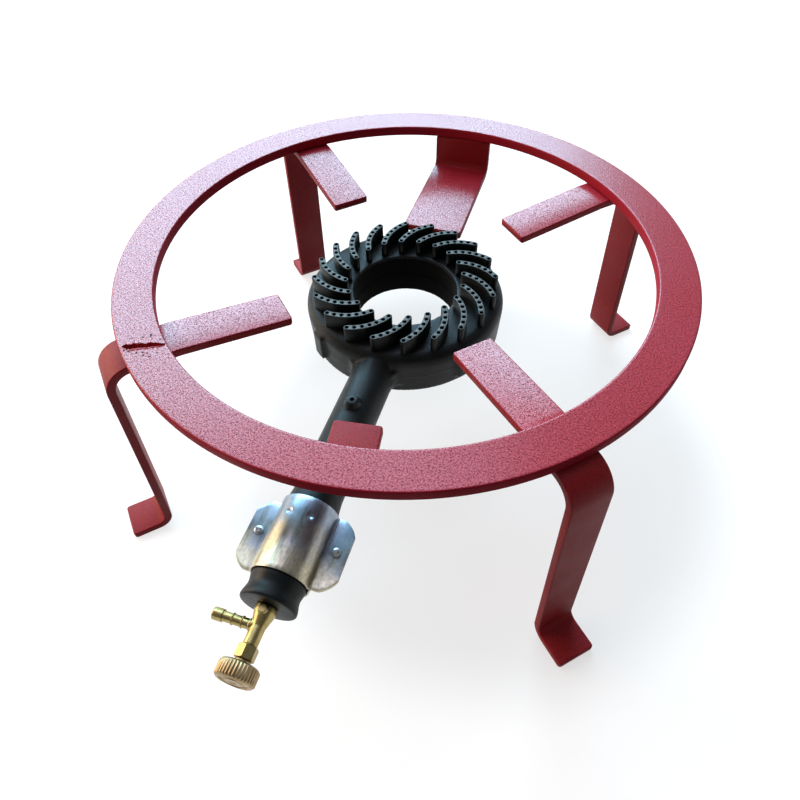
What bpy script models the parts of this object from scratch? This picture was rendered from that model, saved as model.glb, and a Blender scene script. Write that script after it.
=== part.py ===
"""Propane burner stand: a welded pot ring on four legs that carries a cast ring burner and its gas valve.

Metres, +Z up, floor at z = 0. The burner tube runs along -Y, towards the valve knob.
The origin is the middle of the whole object's footprint.
"""

import math

import bmesh
import bpy
from mathutils import Matrix, Vector

# Clearances
GAP = 0.0003  # between pieces that touch
STEM_CLEARANCE = 0.0006  # gas way round the needle stem
SLEEVE_CLEARANCE = 0.0006  # between the air sleeve and what it slides on

# Pot ring: flat bar rolled on edge and butt welded
STAND_HEIGHT = 0.190
RING_RADIUS = 0.208
RING_WIDTH = 0.028
RING_THICKNESS = 0.008
WELD_GROOVE_WIDTH = 0.004
WELD_GROOVE_DEPTH = 0.0015
WELD_GROOVE_AZIMUTH = math.radians(-132)

# Legs: one bent flat bar each, from the arm under the ring to the foot
LEG_COUNT = 4
LEG_PHASE = math.radians(45)
BAR_WIDTH = 0.030
BAR_THICKNESS = 0.006
ARM_REACH = 0.084  # inwards from the ring's inner edge
ARM_DROOP = 0.007
KNEE_OVERHANG = 0.0175
FOOT_SPLAY = 0.0105
FOOT_LENGTH = 0.027
ARM_BEND = 0.040
ARM_BEND_INSET = 0.006  # the bend's place inside the ring's inner edge
KNEE_BEND = 0.014
ANKLE_BEND = 0.007

# Rear strap: a drop under the ring and a shelf that the burner hangs from
STRAP_WIDTH = 0.050
STRAP_THICKNESS = 0.006
STRAP_DROP = 0.0274
STRAP_BEND = 0.005

# Front tab and the hook rod under it
TAB_REACH = 0.023
TAB_TUCK = 0.025
HOOK_ROD_RADIUS = 0.005
HOOK_END_RISE = math.radians(15)

# Burner casting
BLADE_TOP_DROP = 0.0265
BLADE_HEIGHT = 0.012
BODY_HEIGHT = 0.035
BODY_RADIUS = 0.0767
BODY_DRAFT = 0.0015
SHOULDER_WIDTH = 0.0049
SHOULDER_DROP = 0.0085
HOLE_RADIUS = 0.0405
INNER_WALL = 0.0035
OUTER_WALL = 0.004
DECK_THICKNESS = 0.005
FLOOR_THICKNESS = 0.005
PAD_COUNT = 4
PAD_PHASE = math.radians(51)
PAD_WIDTH = 0.011
PAD_HEIGHT = 0.021
PAD_PROUD = 0.003

# Curved blades on the deck, each drilled with a row of gas ports
BLADE_COUNT = 20
BLADE_PHASE = math.radians(16.6)
BLADE_WIDTH = 0.0048
BLADE_ARC_RADIUS = 0.037
BLADE_ENTRY_ANGLE = math.radians(58)  # from the inward radius, at the outer port
OUTER_PORT_RADIUS = 0.0692
PORTS_PER_BLADE = 7
PORT_SPACING = 0.0055
PORT_RADIUS = 0.0012

# Rear lug of the casting, held to the strap's shelf by a welded stud
LUG_WIDTH = 0.036
LUG_LENGTH = 0.030
LUG_THICKNESS = 0.008
STUD_RADIUS = 0.004
STUD_TAIL = 0.003
WASHER_RADIUS = 0.009
WASHER_THICKNESS = 0.0016
NUT_WIDTH = 0.013
NUT_HEIGHT = 0.0065

# Burner tube
TUBE_RISE = 0.0163  # axis above the underside of the burner
TUBE_RADIUS = 0.0155
TUBE_BORE_RADIUS = 0.011
TUBE_ROOT_FILLET = 0.012
TUBE_ROOT_HEIGHT = 0.010
TUBE_ROOT_BITE = 0.001  # how far the fillets start inside the tube's side
FLARE_RADIUS = 0.0168
FLARE_LENGTH = 0.012
BOSS_REACH = 0.1186
BOSS_RADIUS = 0.0046
BOSS_HEIGHT = 0.0045
BOSS_HOLE_RADIUS = 0.0016
BOSS_HOLE_DEPTH = 0.006

# Air sleeve: two half shells of sheet with riveted ears
SLEEVE_START = 0.1945
SLEEVE_LENGTH = 0.048
SLEEVE_SHEET = 0.001
EAR_REACH = 0.0323
EAR_TRIM = 0.001  # ears stop this far short of the shell at each end
EAR_CORNER = 0.009
RIVET_REACH = 0.025
RIVET_OFFSET = 0.022  # from the sleeve's burner end
RIVET_SHANK_RADIUS = 0.0015
RIVET_HEAD_RADIUS = 0.0029
RIVET_HEAD_HEIGHT = 0.0017

# Mixing head: the casting with the air windows, screwed into the tube
TUBE_SEAT = 0.008  # length of tube inside the sleeve
SPIGOT_LENGTH = 0.012
SPIGOT_WALL = 0.002
HEAD_RIM = 0.006
HEAD_WALL = 0.0038
WINDOW_LENGTH = 0.024
WINDOW_WIDTH = 0.020
COLLAR_LENGTH = 0.0155
COLLAR_RADIUS = 0.0172
COLLAR_WAIST = 0.0014  # drawn in from the flare radius
COLLAR_EDGE = 0.0022
END_WALL = 0.0066

# Needle valve
VALVE_THREAD_RADIUS = 0.0045
VALVE_THREAD_LENGTH = 0.0125
VALVE_FLANGE_RADIUS = 0.0064
VALVE_FLANGE_LENGTH = 0.0035
VALVE_TAPER_LENGTH = 0.008
VALVE_NECK_RADIUS = 0.0042
VALVE_LENGTH = 0.022
VALVE_BOSS_RADIUS = 0.0028
VALVE_BOSS_RISE = 0.0069
STEM_RADIUS = 0.0014
SEAT_RADIUS = 0.0009
SEAT_REACH = 0.0065
NEEDLE_LENGTH = 0.003
PACKING_WALL = 0.0015
PACKING_DEPTH = 0.0045
JET_THREAD_RADIUS = 0.0025
JET_THREAD_LENGTH = 0.005
JET_HEAD_RADIUS = 0.0038
JET_HEAD_LENGTH = 0.005
JET_NOSE_LENGTH = 0.003
JET_ORIFICE_RADIUS = 0.0006
BARB_REACH = 0.0273
BARB_OFFSET = 0.0115
BARB_ROOT_RADIUS = 0.0029
BARB_RIDGE_RADIUS = 0.0035
BARB_HEAD_RADIUS = 0.0036
BARB_HEAD_LENGTH = 0.0063
BARB_RIDGES = 2
BARB_RIDGE_PITCH = 0.0058
BARB_RIDGE_LENGTH = 0.0012
BARB_BORE_RADIUS = 0.0016
BARB_SPIGOT_WALL = 0.0008
BARB_SEAT_DEPTH = 0.0012  # how deep the barb's shoulder sits in the neck
BONNET_WIDTH = 0.0104
BONNET_LENGTH = 0.0073

# Knob
KNOB_RADIUS = 0.0115
KNOB_THICKNESS = 0.0095
KNOB_CHAMFER = 0.0012
KNOB_FLUTES = 36
KNOB_FLUTE_DEPTH = 0.0005
KNOB_HUB_RADIUS = 0.0045
KNOB_HUB_LENGTH = 0.0021
KNOB_DISH_INNER = 0.0054
KNOB_DISH_OUTER = 0.0086
KNOB_DISH_DEPTH = 0.0008
KNOB_WEB = 0.0025  # left in front of the stem

# Facets round a full turn
RING_STEPS = 96
BURNER_STEPS = 64
TUBE_STEPS = 32
SMALL_STEPS = 20
PORT_STEPS = 6
BEND_STEPS = 5
BLADE_END_STEPS = 4
SMOOTH_ANGLE = math.radians(35)  # edges that bend more than this stay sharp
OVERSHOOT = 0.002  # cutters run past what they cut

# Heights above the floor
ring_underside = STAND_HEIGHT - RING_THICKNESS
bar_top = ring_underside - GAP
blade_top = STAND_HEIGHT - BLADE_TOP_DROP
deck = blade_top - BLADE_HEIGHT
burner_bottom = deck - BODY_HEIGHT
tube_height = burner_bottom + TUBE_RISE
shelf_top = ring_underside - STRAP_DROP
shelf_underside = shelf_top - STRAP_THICKNESS
lug_top = shelf_underside - GAP
lug_underside = lug_top - LUG_THICKNESS

# Distances from the ring's axis
ring_inner_radius = RING_RADIUS - RING_WIDTH
deck_radius = BODY_RADIUS - SHOULDER_WIDTH
hook_side = TUBE_RADIUS + GAP + HOOK_ROD_RADIUS
hook_reach = ring_inner_radius - TAB_REACH + HOOK_ROD_RADIUS
shelf_end = BODY_RADIUS + GAP
stud_reach = shelf_end + LUG_LENGTH / 2
lug_end = shelf_end + LUG_LENGTH

# Distances along the tube from the ring's axis
sleeve_end = SLEEVE_START + SLEEVE_LENGTH
sleeve_middle = SLEEVE_START + SLEEVE_LENGTH / 2
rivet_place = SLEEVE_START + RIVET_OFFSET
tube_end = SLEEVE_START + TUBE_SEAT
head_start = tube_end + GAP
window_start = head_start + HEAD_RIM
face = sleeve_end + COLLAR_LENGTH
valve_top = face + VALVE_LENGTH
barb_place = face + BARB_OFFSET
thread_end = face - VALVE_THREAD_LENGTH
seat_top = face + SEAT_REACH
packing_floor = valve_top - PACKING_DEPTH
bonnet_start = valve_top + GAP
bonnet_end = bonnet_start + BONNET_LENGTH
knob_hub_start = bonnet_end + GAP
knob_back = knob_hub_start + KNOB_HUB_LENGTH
knob_front = knob_back + KNOB_THICKNESS

# Radii about the tube axis
sleeve_inner_radius = FLARE_RADIUS + SLEEVE_CLEARANCE
sleeve_outer_radius = sleeve_inner_radius + SLEEVE_SHEET
head_bore_radius = FLARE_RADIUS - HEAD_WALL
spigot_radius = TUBE_BORE_RADIUS - GAP
valve_bore_radius = STEM_RADIUS + STEM_CLEARANCE
packing_bore_radius = STEM_RADIUS + GAP + PACKING_WALL + GAP
stem_hole_radius = STEM_RADIUS + GAP
barb_spigot_radius = BARB_BORE_RADIUS + BARB_SPIGOT_WALL

# The ring's axis stands where the footprint's middle falls on the origin
ring_axis_y = (knob_front - RING_RADIUS) / 2

for old in list(bpy.data.objects):
    bpy.data.objects.remove(old)


def new_collection(name):
    """A collection in the scene."""
    made = bpy.data.collections.new(name)
    bpy.context.scene.collection.children.link(made)
    return made


parts = new_collection("propane_burner_stand")
cutters = new_collection("cutters")


def finish(name, color, roughness, metallic):
    """A Principled material."""
    made = bpy.data.materials.new(name)
    made.use_nodes = True
    shader = made.node_tree.nodes["Principled BSDF"]
    shader.inputs["Base Color"].default_value = (*color, 1)
    shader.inputs["Roughness"].default_value = roughness
    shader.inputs["Metallic"].default_value = metallic
    return made


red_paint = finish("red_hammered_paint", (0.42, 0.022, 0.035), 0.35, 0.0)
black_iron = finish("black_cast_iron", (0.018, 0.022, 0.024), 0.55, 0.2)
zinc_sheet = finish("galvanised_sheet", (0.60, 0.61, 0.60), 0.3, 1.0)
zinc_plate = finish("zinc_plated_steel", (0.55, 0.55, 0.53), 0.35, 1.0)
brass = finish("brass", (0.62, 0.45, 0.16), 0.28, 1.0)
knob_brass = finish("tumbled_brass", (0.62, 0.36, 0.17), 0.4, 1.0)
white_packing = finish("white_packing", (0.8, 0.8, 0.78), 0.6, 0.0)


def empty(name, parent=None, location=(0, 0, 0), rotation=(0, 0, 0)):
    """An empty that carries pieces."""
    made = bpy.data.objects.new(name, None)
    made.location = location
    made.rotation_euler = rotation
    made.parent = parent
    parts.objects.link(made)
    return made


stand_axis = empty("stand_axis", None, (0, ring_axis_y, 0))
# In the tube frame x is sideways, y is up and z runs out along the tube
ALONG_TUBE = (math.radians(90), 0, 0)
tube_axis = empty("tube_axis", stand_axis, (0, 0, tube_height), ALONG_TUBE)
sleeve_axis = empty("sleeve_axis", tube_axis)
stem_axis = empty("stem_axis", tube_axis)


def add(name, data, material, parent, location=(0, 0, 0), rotation=(0, 0, 0)):
    """An object in the parts collection, or a cutter when it has no material."""
    made = bpy.data.objects.new(name, data)
    made.location = location
    made.rotation_euler = rotation
    made.parent = parent
    if material:
        data.materials.append(material)
        parts.objects.link(made)
    else:
        made.hide_render = True
        made.display_type = "WIRE"
        cutters.objects.link(made)
    return made


def as_mesh(shape):
    """The same piece as a welded mesh, which Booleans take."""
    bpy.context.view_layer.update()
    graph = bpy.context.evaluated_depsgraph_get()
    mesh = bpy.data.meshes.new_from_object(shape.evaluated_get(graph))
    welded = bmesh.new()
    welded.from_mesh(mesh)
    bmesh.ops.remove_doubles(welded, verts=welded.verts, dist=0.000001)
    bmesh.ops.recalc_face_normals(welded, faces=welded.faces)
    welded.to_mesh(mesh)
    welded.free()
    mesh.shade_smooth()
    mesh.set_sharp_from_angle(angle=SMOOTH_ANGLE)
    made = bpy.data.objects.new(shape.name, mesh)
    made.parent = shape.parent
    made.matrix_world = shape.matrix_world
    made.hide_render = shape.hide_render
    made.display_type = shape.display_type
    for home in shape.users_collection:
        home.objects.link(made)
    name = shape.name
    bpy.data.objects.remove(shape)
    made.name = name
    return made


def turned(name, profile, steps, material, parent, location=(0, 0, 0), rotation=(0, 0, 0), closed=True):
    """A (radius, height) profile turned about local z, its outer side running from top to bottom."""
    mesh = bpy.data.meshes.new(name)
    edges = [(i, i + 1) for i in range(len(profile) - 1)]
    if closed:
        edges.append((len(profile) - 1, 0))
    mesh.from_pydata([(radius, 0, height) for radius, height in profile], edges, [])
    made = add(name, mesh, material, parent, location, rotation)
    screw = made.modifiers.new("turn", "SCREW")
    screw.steps = screw.render_steps = steps
    screw.use_merge_vertices = True
    screw.merge_threshold = 0.00001
    return as_mesh(made)


def flat_shape(
    name, outlines, low, high, material, parent, location=(0, 0, 0), rotation=(0, 0, 0), chamfer=0
):
    """Closed outlines in local xy, filled and extruded along local z from low to high."""
    curve = bpy.data.curves.new(name, "CURVE")
    curve.dimensions = "2D"
    curve.fill_mode = "BOTH"
    curve.extrude = (high - low) / 2 - chamfer
    curve.bevel_depth = chamfer
    curve.offset = -chamfer
    curve.bevel_resolution = 0
    for outline in outlines:
        spline = curve.splines.new("POLY")
        spline.points.add(len(outline) - 1)
        spline.use_cyclic_u = True
        for point, (x, y) in zip(spline.points, outline):
            point.co = (x, y, 0, 1)
    made = add(name, curve, material, parent, location, rotation)
    made.location += made.rotation_euler.to_matrix() @ Vector((0, 0, (low + high) / 2))
    return made


def rod(name, radius, low, high, steps, parent, location=(0, 0, 0), rotation=(0, 0, 0), material=None):
    """A cylinder along local z, from low to high, or a prism when it has few steps."""
    mesh = bpy.data.meshes.new(name)
    shape = bmesh.new()
    bmesh.ops.create_cone(
        shape,
        cap_ends=True,
        segments=steps,
        radius1=radius,
        radius2=radius,
        depth=high - low,
        matrix=Matrix.Translation((0, 0, (low + high) / 2)),
    )
    shape.to_mesh(mesh)
    shape.free()
    return add(name, mesh, material, parent, location, rotation)


def block(name, low, high, parent, rotation=(0, 0, 0), location=(0, 0, 0)):
    """A box between two corners, as a cutter or as a lump to join."""
    mesh = bpy.data.meshes.new(name)
    shape = bmesh.new()
    size = [top - bottom for bottom, top in zip(low, high)]
    middle = [(bottom + top) / 2 for bottom, top in zip(low, high)]
    bmesh.ops.create_cube(shape, size=1, matrix=Matrix.Translation(middle) @ Matrix.Diagonal((*size, 1)))
    shape.to_mesh(mesh)
    shape.free()
    return add(name, mesh, None, parent, location, rotation)


def boolean(piece, operation, *tools):
    """Joins the tools to the piece, cuts them from it or keeps what they share."""
    for tool in tools:
        step = piece.modifiers.new(tool.name, "BOOLEAN")
        step.operation = operation
        step.solver = "EXACT"
        step.object = tool


def arc(center, radius, start, end, steps):
    """Points on an arc, both ends included."""
    angles = [start + (end - start) * i / steps for i in range(steps + 1)]
    return [(center[0] + radius * math.cos(a), center[1] + radius * math.sin(a)) for a in angles]


def strip_outline(path, bends, thickness):
    """The side view of a bent flat bar: both faces of a path whose corners are rounded.

    bends holds each inner corner's inside radius.
    """
    sides = []
    for side in (1, -1):
        face_points = []
        for i, (x, y) in enumerate(path):
            before = path[i - 1] if i else None
            after = path[i + 1] if i + 1 < len(path) else None
            headings = [
                math.atan2(b[1] - a[1], b[0] - a[0])
                for a, b in ((before, (x, y)), ((x, y), after))
                if a and b
            ]
            normals = [(-math.sin(h) * side, math.cos(h) * side) for h in headings]
            if len(headings) == 1:
                nx, ny = normals[0]
                face_points.append((x + nx * thickness / 2, y + ny * thickness / 2))
                continue
            turn = (headings[1] - headings[0] + math.pi) % (2 * math.pi) - math.pi
            inward = 1 if turn > 0 else -1
            middle_radius = bends[i - 1] + thickness / 2
            setback = middle_radius * math.tan(abs(turn) / 2)
            start_x = x - setback * math.cos(headings[0])
            start_y = y - setback * math.sin(headings[0])
            center = (
                start_x - math.sin(headings[0]) * inward * middle_radius,
                start_y + math.cos(headings[0]) * inward * middle_radius,
            )
            radius = middle_radius - side * inward * thickness / 2
            begin = headings[0] - inward * math.pi / 2
            face_points += arc(center, radius, begin, begin + turn, BEND_STEPS)
        sides.append(face_points)
    return sides[0] + sides[1][::-1]


def bent_bar(name, path, bends, width, thickness, azimuth):
    """A flat bar bent in the upright plane at this azimuth, its path in (radius, height)."""
    outline = strip_outline(path, bends, thickness)
    upright = (math.radians(90), 0, azimuth)
    return flat_shape(name, [outline], -width / 2, width / 2, red_paint, stand_axis, (0, 0, 0), upright)


# Pot ring, with the groove that is left over its butt weld
pot_ring = turned(
    "pot_ring",
    [
        (ring_inner_radius, STAND_HEIGHT),
        (RING_RADIUS, STAND_HEIGHT),
        (RING_RADIUS, ring_underside),
        (ring_inner_radius, ring_underside),
    ],
    RING_STEPS,
    red_paint,
    stand_axis,
)
groove = flat_shape(
    "weld_groove",
    [
        [
            (-WELD_GROOVE_WIDTH, WELD_GROOVE_DEPTH),
            (0, -WELD_GROOVE_DEPTH),
            (WELD_GROOVE_WIDTH, WELD_GROOVE_DEPTH),
        ]
    ],
    ring_inner_radius - OVERSHOOT,
    RING_RADIUS + OVERSHOOT,
    None,
    stand_axis,
    (0, 0, STAND_HEIGHT),
    (math.radians(90), 0, WELD_GROOVE_AZIMUTH + math.radians(90)),
)
boolean(pot_ring, "DIFFERENCE", as_mesh(groove))

# Legs
bar_middle = bar_top - BAR_THICKNESS / 2
knee = RING_RADIUS + KNEE_OVERHANG - BAR_THICKNESS / 2
ankle = knee + FOOT_SPLAY
foot_middle = BAR_THICKNESS / 2
leg_path = [
    (ring_inner_radius - ARM_REACH, bar_middle - ARM_DROOP),
    (ring_inner_radius - ARM_BEND_INSET, bar_middle),
    (knee, bar_middle),
    (ankle, foot_middle),
    (ankle + FOOT_LENGTH + BAR_THICKNESS / 2, foot_middle),
]
for i, corner in enumerate(("rear_right", "rear_left", "front_left", "front_right")):
    bent_bar(
        f"leg_{corner}",
        leg_path,
        (ARM_BEND, KNEE_BEND, ANKLE_BEND),
        BAR_WIDTH,
        BAR_THICKNESS,
        LEG_PHASE + i * 2 * math.pi / LEG_COUNT,
    )

# Rear strap
strap_middle = ring_inner_radius + STRAP_THICKNESS / 2
shelf_middle = shelf_top - STRAP_THICKNESS / 2
bent_bar(
    "rear_strap",
    [(strap_middle, bar_top), (strap_middle, shelf_middle), (shelf_end, shelf_middle)],
    (STRAP_BEND,),
    STRAP_WIDTH,
    STRAP_THICKNESS,
    math.radians(90),
)

# Front tab, centred over the hook rod
tab_azimuth = math.asin(hook_side / hook_reach) - math.radians(90)
bent_bar(
    "front_tab",
    [(ring_inner_radius - TAB_REACH, bar_middle), (ring_inner_radius + TAB_TUCK, bar_middle)],
    (),
    BAR_WIDTH,
    BAR_THICKNESS,
    tab_azimuth,
)

# Hook rod: down beside the tube and round under it
hook_curve = bpy.data.curves.new("tube_hook", "CURVE")
hook_curve.dimensions = "3D"
hook_curve.bevel_depth = HOOK_ROD_RADIUS
hook_curve.bevel_resolution = 2
hook_curve.use_fill_caps = True
hook_top = bar_top - BAR_THICKNESS - GAP - tube_height
hook_points = [(hook_side, hook_top)]
hook_points += arc((0, 0), hook_side, 0, HOOK_END_RISE - math.pi, 2 * BEND_STEPS)
hook_spline = hook_curve.splines.new("POLY")
hook_spline.points.add(len(hook_points) - 1)
for point, (x, y) in zip(hook_spline.points, hook_points):
    point.co = (x, y, 0, 1)
add("tube_hook", hook_curve, red_paint, tube_axis, (0, 0, hook_reach))

# Burner casting: ring body, blades, tube, pads, boss and rear lug
burner = turned(
    "burner_casting",
    [
        (HOLE_RADIUS, deck),
        (deck_radius, deck),
        (BODY_RADIUS, deck - SHOULDER_DROP),
        (BODY_RADIUS - BODY_DRAFT, burner_bottom),
        (HOLE_RADIUS, burner_bottom),
    ],
    BURNER_STEPS,
    black_iron,
    stand_axis,
)


def blade_point(distance, azimuth):
    """A point on a blade's middle line, this far in from its outer port, with its outward normal."""
    heading = math.pi / 2 - BLADE_ENTRY_ANGLE
    center_x = OUTER_PORT_RADIUS - BLADE_ARC_RADIUS * math.cos(heading)
    center_y = -BLADE_ARC_RADIUS * math.sin(heading)
    angle = heading + distance / BLADE_ARC_RADIUS
    x = center_x + BLADE_ARC_RADIUS * math.cos(angle)
    y = center_y + BLADE_ARC_RADIUS * math.sin(angle)
    turned_x = x * math.cos(azimuth) - y * math.sin(azimuth)
    turned_y = x * math.sin(azimuth) + y * math.cos(azimuth)
    return (turned_x, turned_y), angle + azimuth


def blade_outline(azimuth):
    """A blade seen from above, with round ends."""
    half = BLADE_WIDTH / 2
    outer_side = []
    inner_side = []
    for i in range(PORTS_PER_BLADE):
        (x, y), normal = blade_point(i * PORT_SPACING, azimuth)
        outer_side.append((x + half * math.cos(normal), y + half * math.sin(normal)))
        inner_side.append((x - half * math.cos(normal), y - half * math.sin(normal)))
    last, last_normal = blade_point(PORT_SPACING * (PORTS_PER_BLADE - 1), azimuth)
    first, first_normal = blade_point(0, azimuth)
    inner_end = arc(last, half, last_normal, last_normal + math.pi, BLADE_END_STEPS)
    outer_end = arc(first, half, first_normal - math.pi, first_normal, BLADE_END_STEPS)
    return outer_side[1:-1] + inner_end + inner_side[-2:0:-1] + outer_end


blade_turns = [BLADE_PHASE + i * 2 * math.pi / BLADE_COUNT for i in range(BLADE_COUNT)]
blade_outlines = [blade_outline(turn) for turn in blade_turns]
port_outlines = [
    arc(blade_point(i * PORT_SPACING, turn)[0], PORT_RADIUS, 0, 2 * math.pi, PORT_STEPS)[:-1]
    for turn in blade_turns
    for i in range(PORTS_PER_BLADE)
]
blade_foot = deck - DECK_THICKNESS / 2
blades = as_mesh(flat_shape("blades", blade_outlines, blade_foot, blade_top, None, stand_axis))
chamber_top = deck - DECK_THICKNESS
ports = as_mesh(
    flat_shape("ports", port_outlines, chamber_top - OVERSHOOT, blade_top + OVERSHOOT, None, stand_axis)
)
chamber_inner = HOLE_RADIUS + INNER_WALL
chamber_outer = BODY_RADIUS - BODY_DRAFT - OUTER_WALL
chamber_floor = burner_bottom + FLOOR_THICKNESS
chamber = turned(
    "gas_chamber",
    [
        (chamber_inner, chamber_top),
        (chamber_outer, chamber_top),
        (chamber_outer, chamber_floor),
        (chamber_inner, chamber_floor),
    ],
    BURNER_STEPS,
    None,
    stand_axis,
)
tube_start = (chamber_inner + chamber_outer) / 2
flare_start = SLEEVE_START - FLARE_LENGTH
tube = turned(
    "tube",
    [
        (0, tube_end),
        (FLARE_RADIUS, tube_end),
        (FLARE_RADIUS, SLEEVE_START),
        (TUBE_RADIUS, flare_start),
        (TUBE_RADIUS, tube_start),
        (0, tube_start),
    ],
    TUBE_STEPS,
    None,
    tube_axis,
    closed=False,
)
half_facet = (0, 0, math.pi / TUBE_STEPS)
tube_bore = rod(
    "tube_bore",
    TUBE_BORE_RADIUS,
    tube_start,
    tube_end + OVERSHOOT,
    TUBE_STEPS,
    tube_axis,
    rotation=half_facet,
)

# Fillets in plan where the tube leaves the body, each tangent to the tube's side and to the body
wall_radius = BODY_RADIUS - BODY_DRAFT
fillet_side = TUBE_RADIUS - TUBE_ROOT_BITE + TUBE_ROOT_FILLET
fillet_reach = math.sqrt((wall_radius + TUBE_ROOT_FILLET) ** 2 - fillet_side**2)
fillet_end = math.atan2(-fillet_reach, -fillet_side)
right_fillet = arc((fillet_side, fillet_reach), TUBE_ROOT_FILLET, -math.pi, fillet_end, BEND_STEPS)
root_outline = [(-x, y) for x, y in right_fillet[::-1]] + right_fillet + [(0, tube_start)]
tube_root = as_mesh(
    flat_shape(
        "tube_root",
        [root_outline],
        -TUBE_ROOT_HEIGHT / 2,
        TUBE_ROOT_HEIGHT / 2,
        None,
        tube_axis,
        (0, 0, 0),
        ALONG_TUBE,
    )
)
boss_top = TUBE_RADIUS + BOSS_HEIGHT
UP_FROM_TUBE = (math.radians(-90), 0, 0)
at_boss = (0, 0, BOSS_REACH)
boss = rod(
    "boss", BOSS_RADIUS, TUBE_BORE_RADIUS, boss_top, SMALL_STEPS, tube_axis, at_boss, UP_FROM_TUBE
)
boss_hole = rod(
    "boss_hole",
    BOSS_HOLE_RADIUS,
    boss_top - BOSS_HOLE_DEPTH,
    boss_top + OVERSHOOT,
    SMALL_STEPS // 2,
    tube_axis,
    at_boss,
    UP_FROM_TUBE,
)
pad_middle = burner_bottom + BODY_HEIGHT / 2
pads = [
    block(
        f"pad_{i}",
        (chamber_outer + OUTER_WALL / 2, -PAD_WIDTH / 2, pad_middle - PAD_HEIGHT / 2),
        (BODY_RADIUS + PAD_PROUD, PAD_WIDTH / 2, pad_middle + PAD_HEIGHT / 2),
        stand_axis,
        (0, 0, PAD_PHASE + i * 2 * math.pi / PAD_COUNT),
    )
    for i in range(PAD_COUNT)
]
lug = block(
    "rear_lug",
    (-LUG_WIDTH / 2, chamber_outer + OUTER_WALL / 2, lug_underside),
    (LUG_WIDTH / 2, lug_end, lug_top),
    stand_axis,
)
lug_hole = rod(
    "lug_hole",
    STUD_RADIUS + GAP,
    lug_underside - OVERSHOOT,
    lug_top + OVERSHOOT,
    SMALL_STEPS,
    stand_axis,
    (0, stud_reach, 0),
)
boolean(burner, "UNION", blades, tube, tube_root, boss, lug, *pads)
boolean(burner, "DIFFERENCE", chamber, tube_bore, boss_hole, lug_hole, ports)

# Stud on the strap's shelf, with the washer and nut that hold the lug
washer_top = lug_underside - GAP
nut_top = washer_top - WASHER_THICKNESS - GAP
nut_bottom = nut_top - NUT_HEIGHT
at_stud = (0, stud_reach, 0)
rod(
    "burner_stud",
    STUD_RADIUS,
    nut_bottom - STUD_TAIL,
    shelf_underside - GAP,
    SMALL_STEPS,
    stand_axis,
    at_stud,
    material=zinc_plate,
)
washer_bottom = washer_top - WASHER_THICKNESS
hole_round_stud = STUD_RADIUS + GAP
turned(
    "burner_washer",
    [
        (hole_round_stud, washer_top),
        (WASHER_RADIUS, washer_top),
        (WASHER_RADIUS, washer_bottom),
        (hole_round_stud, washer_bottom),
    ],
    SMALL_STEPS,
    zinc_plate,
    stand_axis,
    at_stud,
)


def hexagon(name, width, hole_radius, low, high, material, parent, location=(0, 0, 0)):
    """A hexagon across flats, with a round hole through it."""
    corner = width / 2 / math.cos(math.pi / 6)
    outline = arc((0, 0), corner, 0, 2 * math.pi, 6)[:-1]
    hole = arc((0, 0), hole_radius, 0, 2 * math.pi, SMALL_STEPS)[:-1]
    return flat_shape(name, [outline, hole], low, high, material, parent, location)


hexagon("burner_nut", NUT_WIDTH, hole_round_stud, nut_bottom, nut_top, zinc_plate, stand_axis, at_stud)

# Mixing head, its end wall towards the valve
waist_radius = FLARE_RADIUS - COLLAR_WAIST
waist_place = sleeve_end + COLLAR_LENGTH / 2
bore_start = head_start + HEAD_RIM / 2
spigot_end = head_start - SPIGOT_LENGTH
thread_hole_radius = VALVE_THREAD_RADIUS + GAP
mixing_head = turned(
    "mixing_head",
    [
        (thread_hole_radius, face),
        (COLLAR_RADIUS - COLLAR_EDGE, face),
        (COLLAR_RADIUS, face - COLLAR_EDGE),
        (COLLAR_RADIUS, face - 2 * COLLAR_EDGE),
        (waist_radius, waist_place),
        (FLARE_RADIUS, sleeve_end),
        (FLARE_RADIUS, head_start),
        (spigot_radius, head_start),
        (spigot_radius, spigot_end),
        (spigot_radius - SPIGOT_WALL, spigot_end),
        (spigot_radius - SPIGOT_WALL, bore_start),
        (head_bore_radius, bore_start),
        (head_bore_radius, face - END_WALL),
        (thread_hole_radius, face - END_WALL),
    ],
    TUBE_STEPS,
    black_iron,
    tube_axis,
)
windows = block(
    "air_windows",
    (-WINDOW_WIDTH / 2, -FLARE_RADIUS - OVERSHOOT, window_start),
    (WINDOW_WIDTH / 2, FLARE_RADIUS + OVERSHOOT, window_start + WINDOW_LENGTH),
    tube_axis,
)
boolean(mixing_head, "DIFFERENCE", windows)


def half_shell(side):
    """The cross section of the upper (1) or lower (-1) sleeve half, with its ears."""
    ear_low = GAP / 2
    ear_high = ear_low + SLEEVE_SHEET
    outer_foot = math.asin(ear_high / sleeve_outer_radius)
    inner_foot = math.asin(ear_low / sleeve_inner_radius)
    outer = arc((0, 0), sleeve_outer_radius, outer_foot, math.pi - outer_foot, 4 * BEND_STEPS)
    inner = arc((0, 0), sleeve_inner_radius, math.pi - inner_foot, inner_foot, 4 * BEND_STEPS)
    untrimmed = EAR_REACH + OVERSHOOT
    outline = [(untrimmed, ear_low), (untrimmed, ear_high), *outer]
    outline += [(-untrimmed, ear_high), (-untrimmed, ear_low), *inner]
    return [(x, y * side) for x, y in outline]


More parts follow.
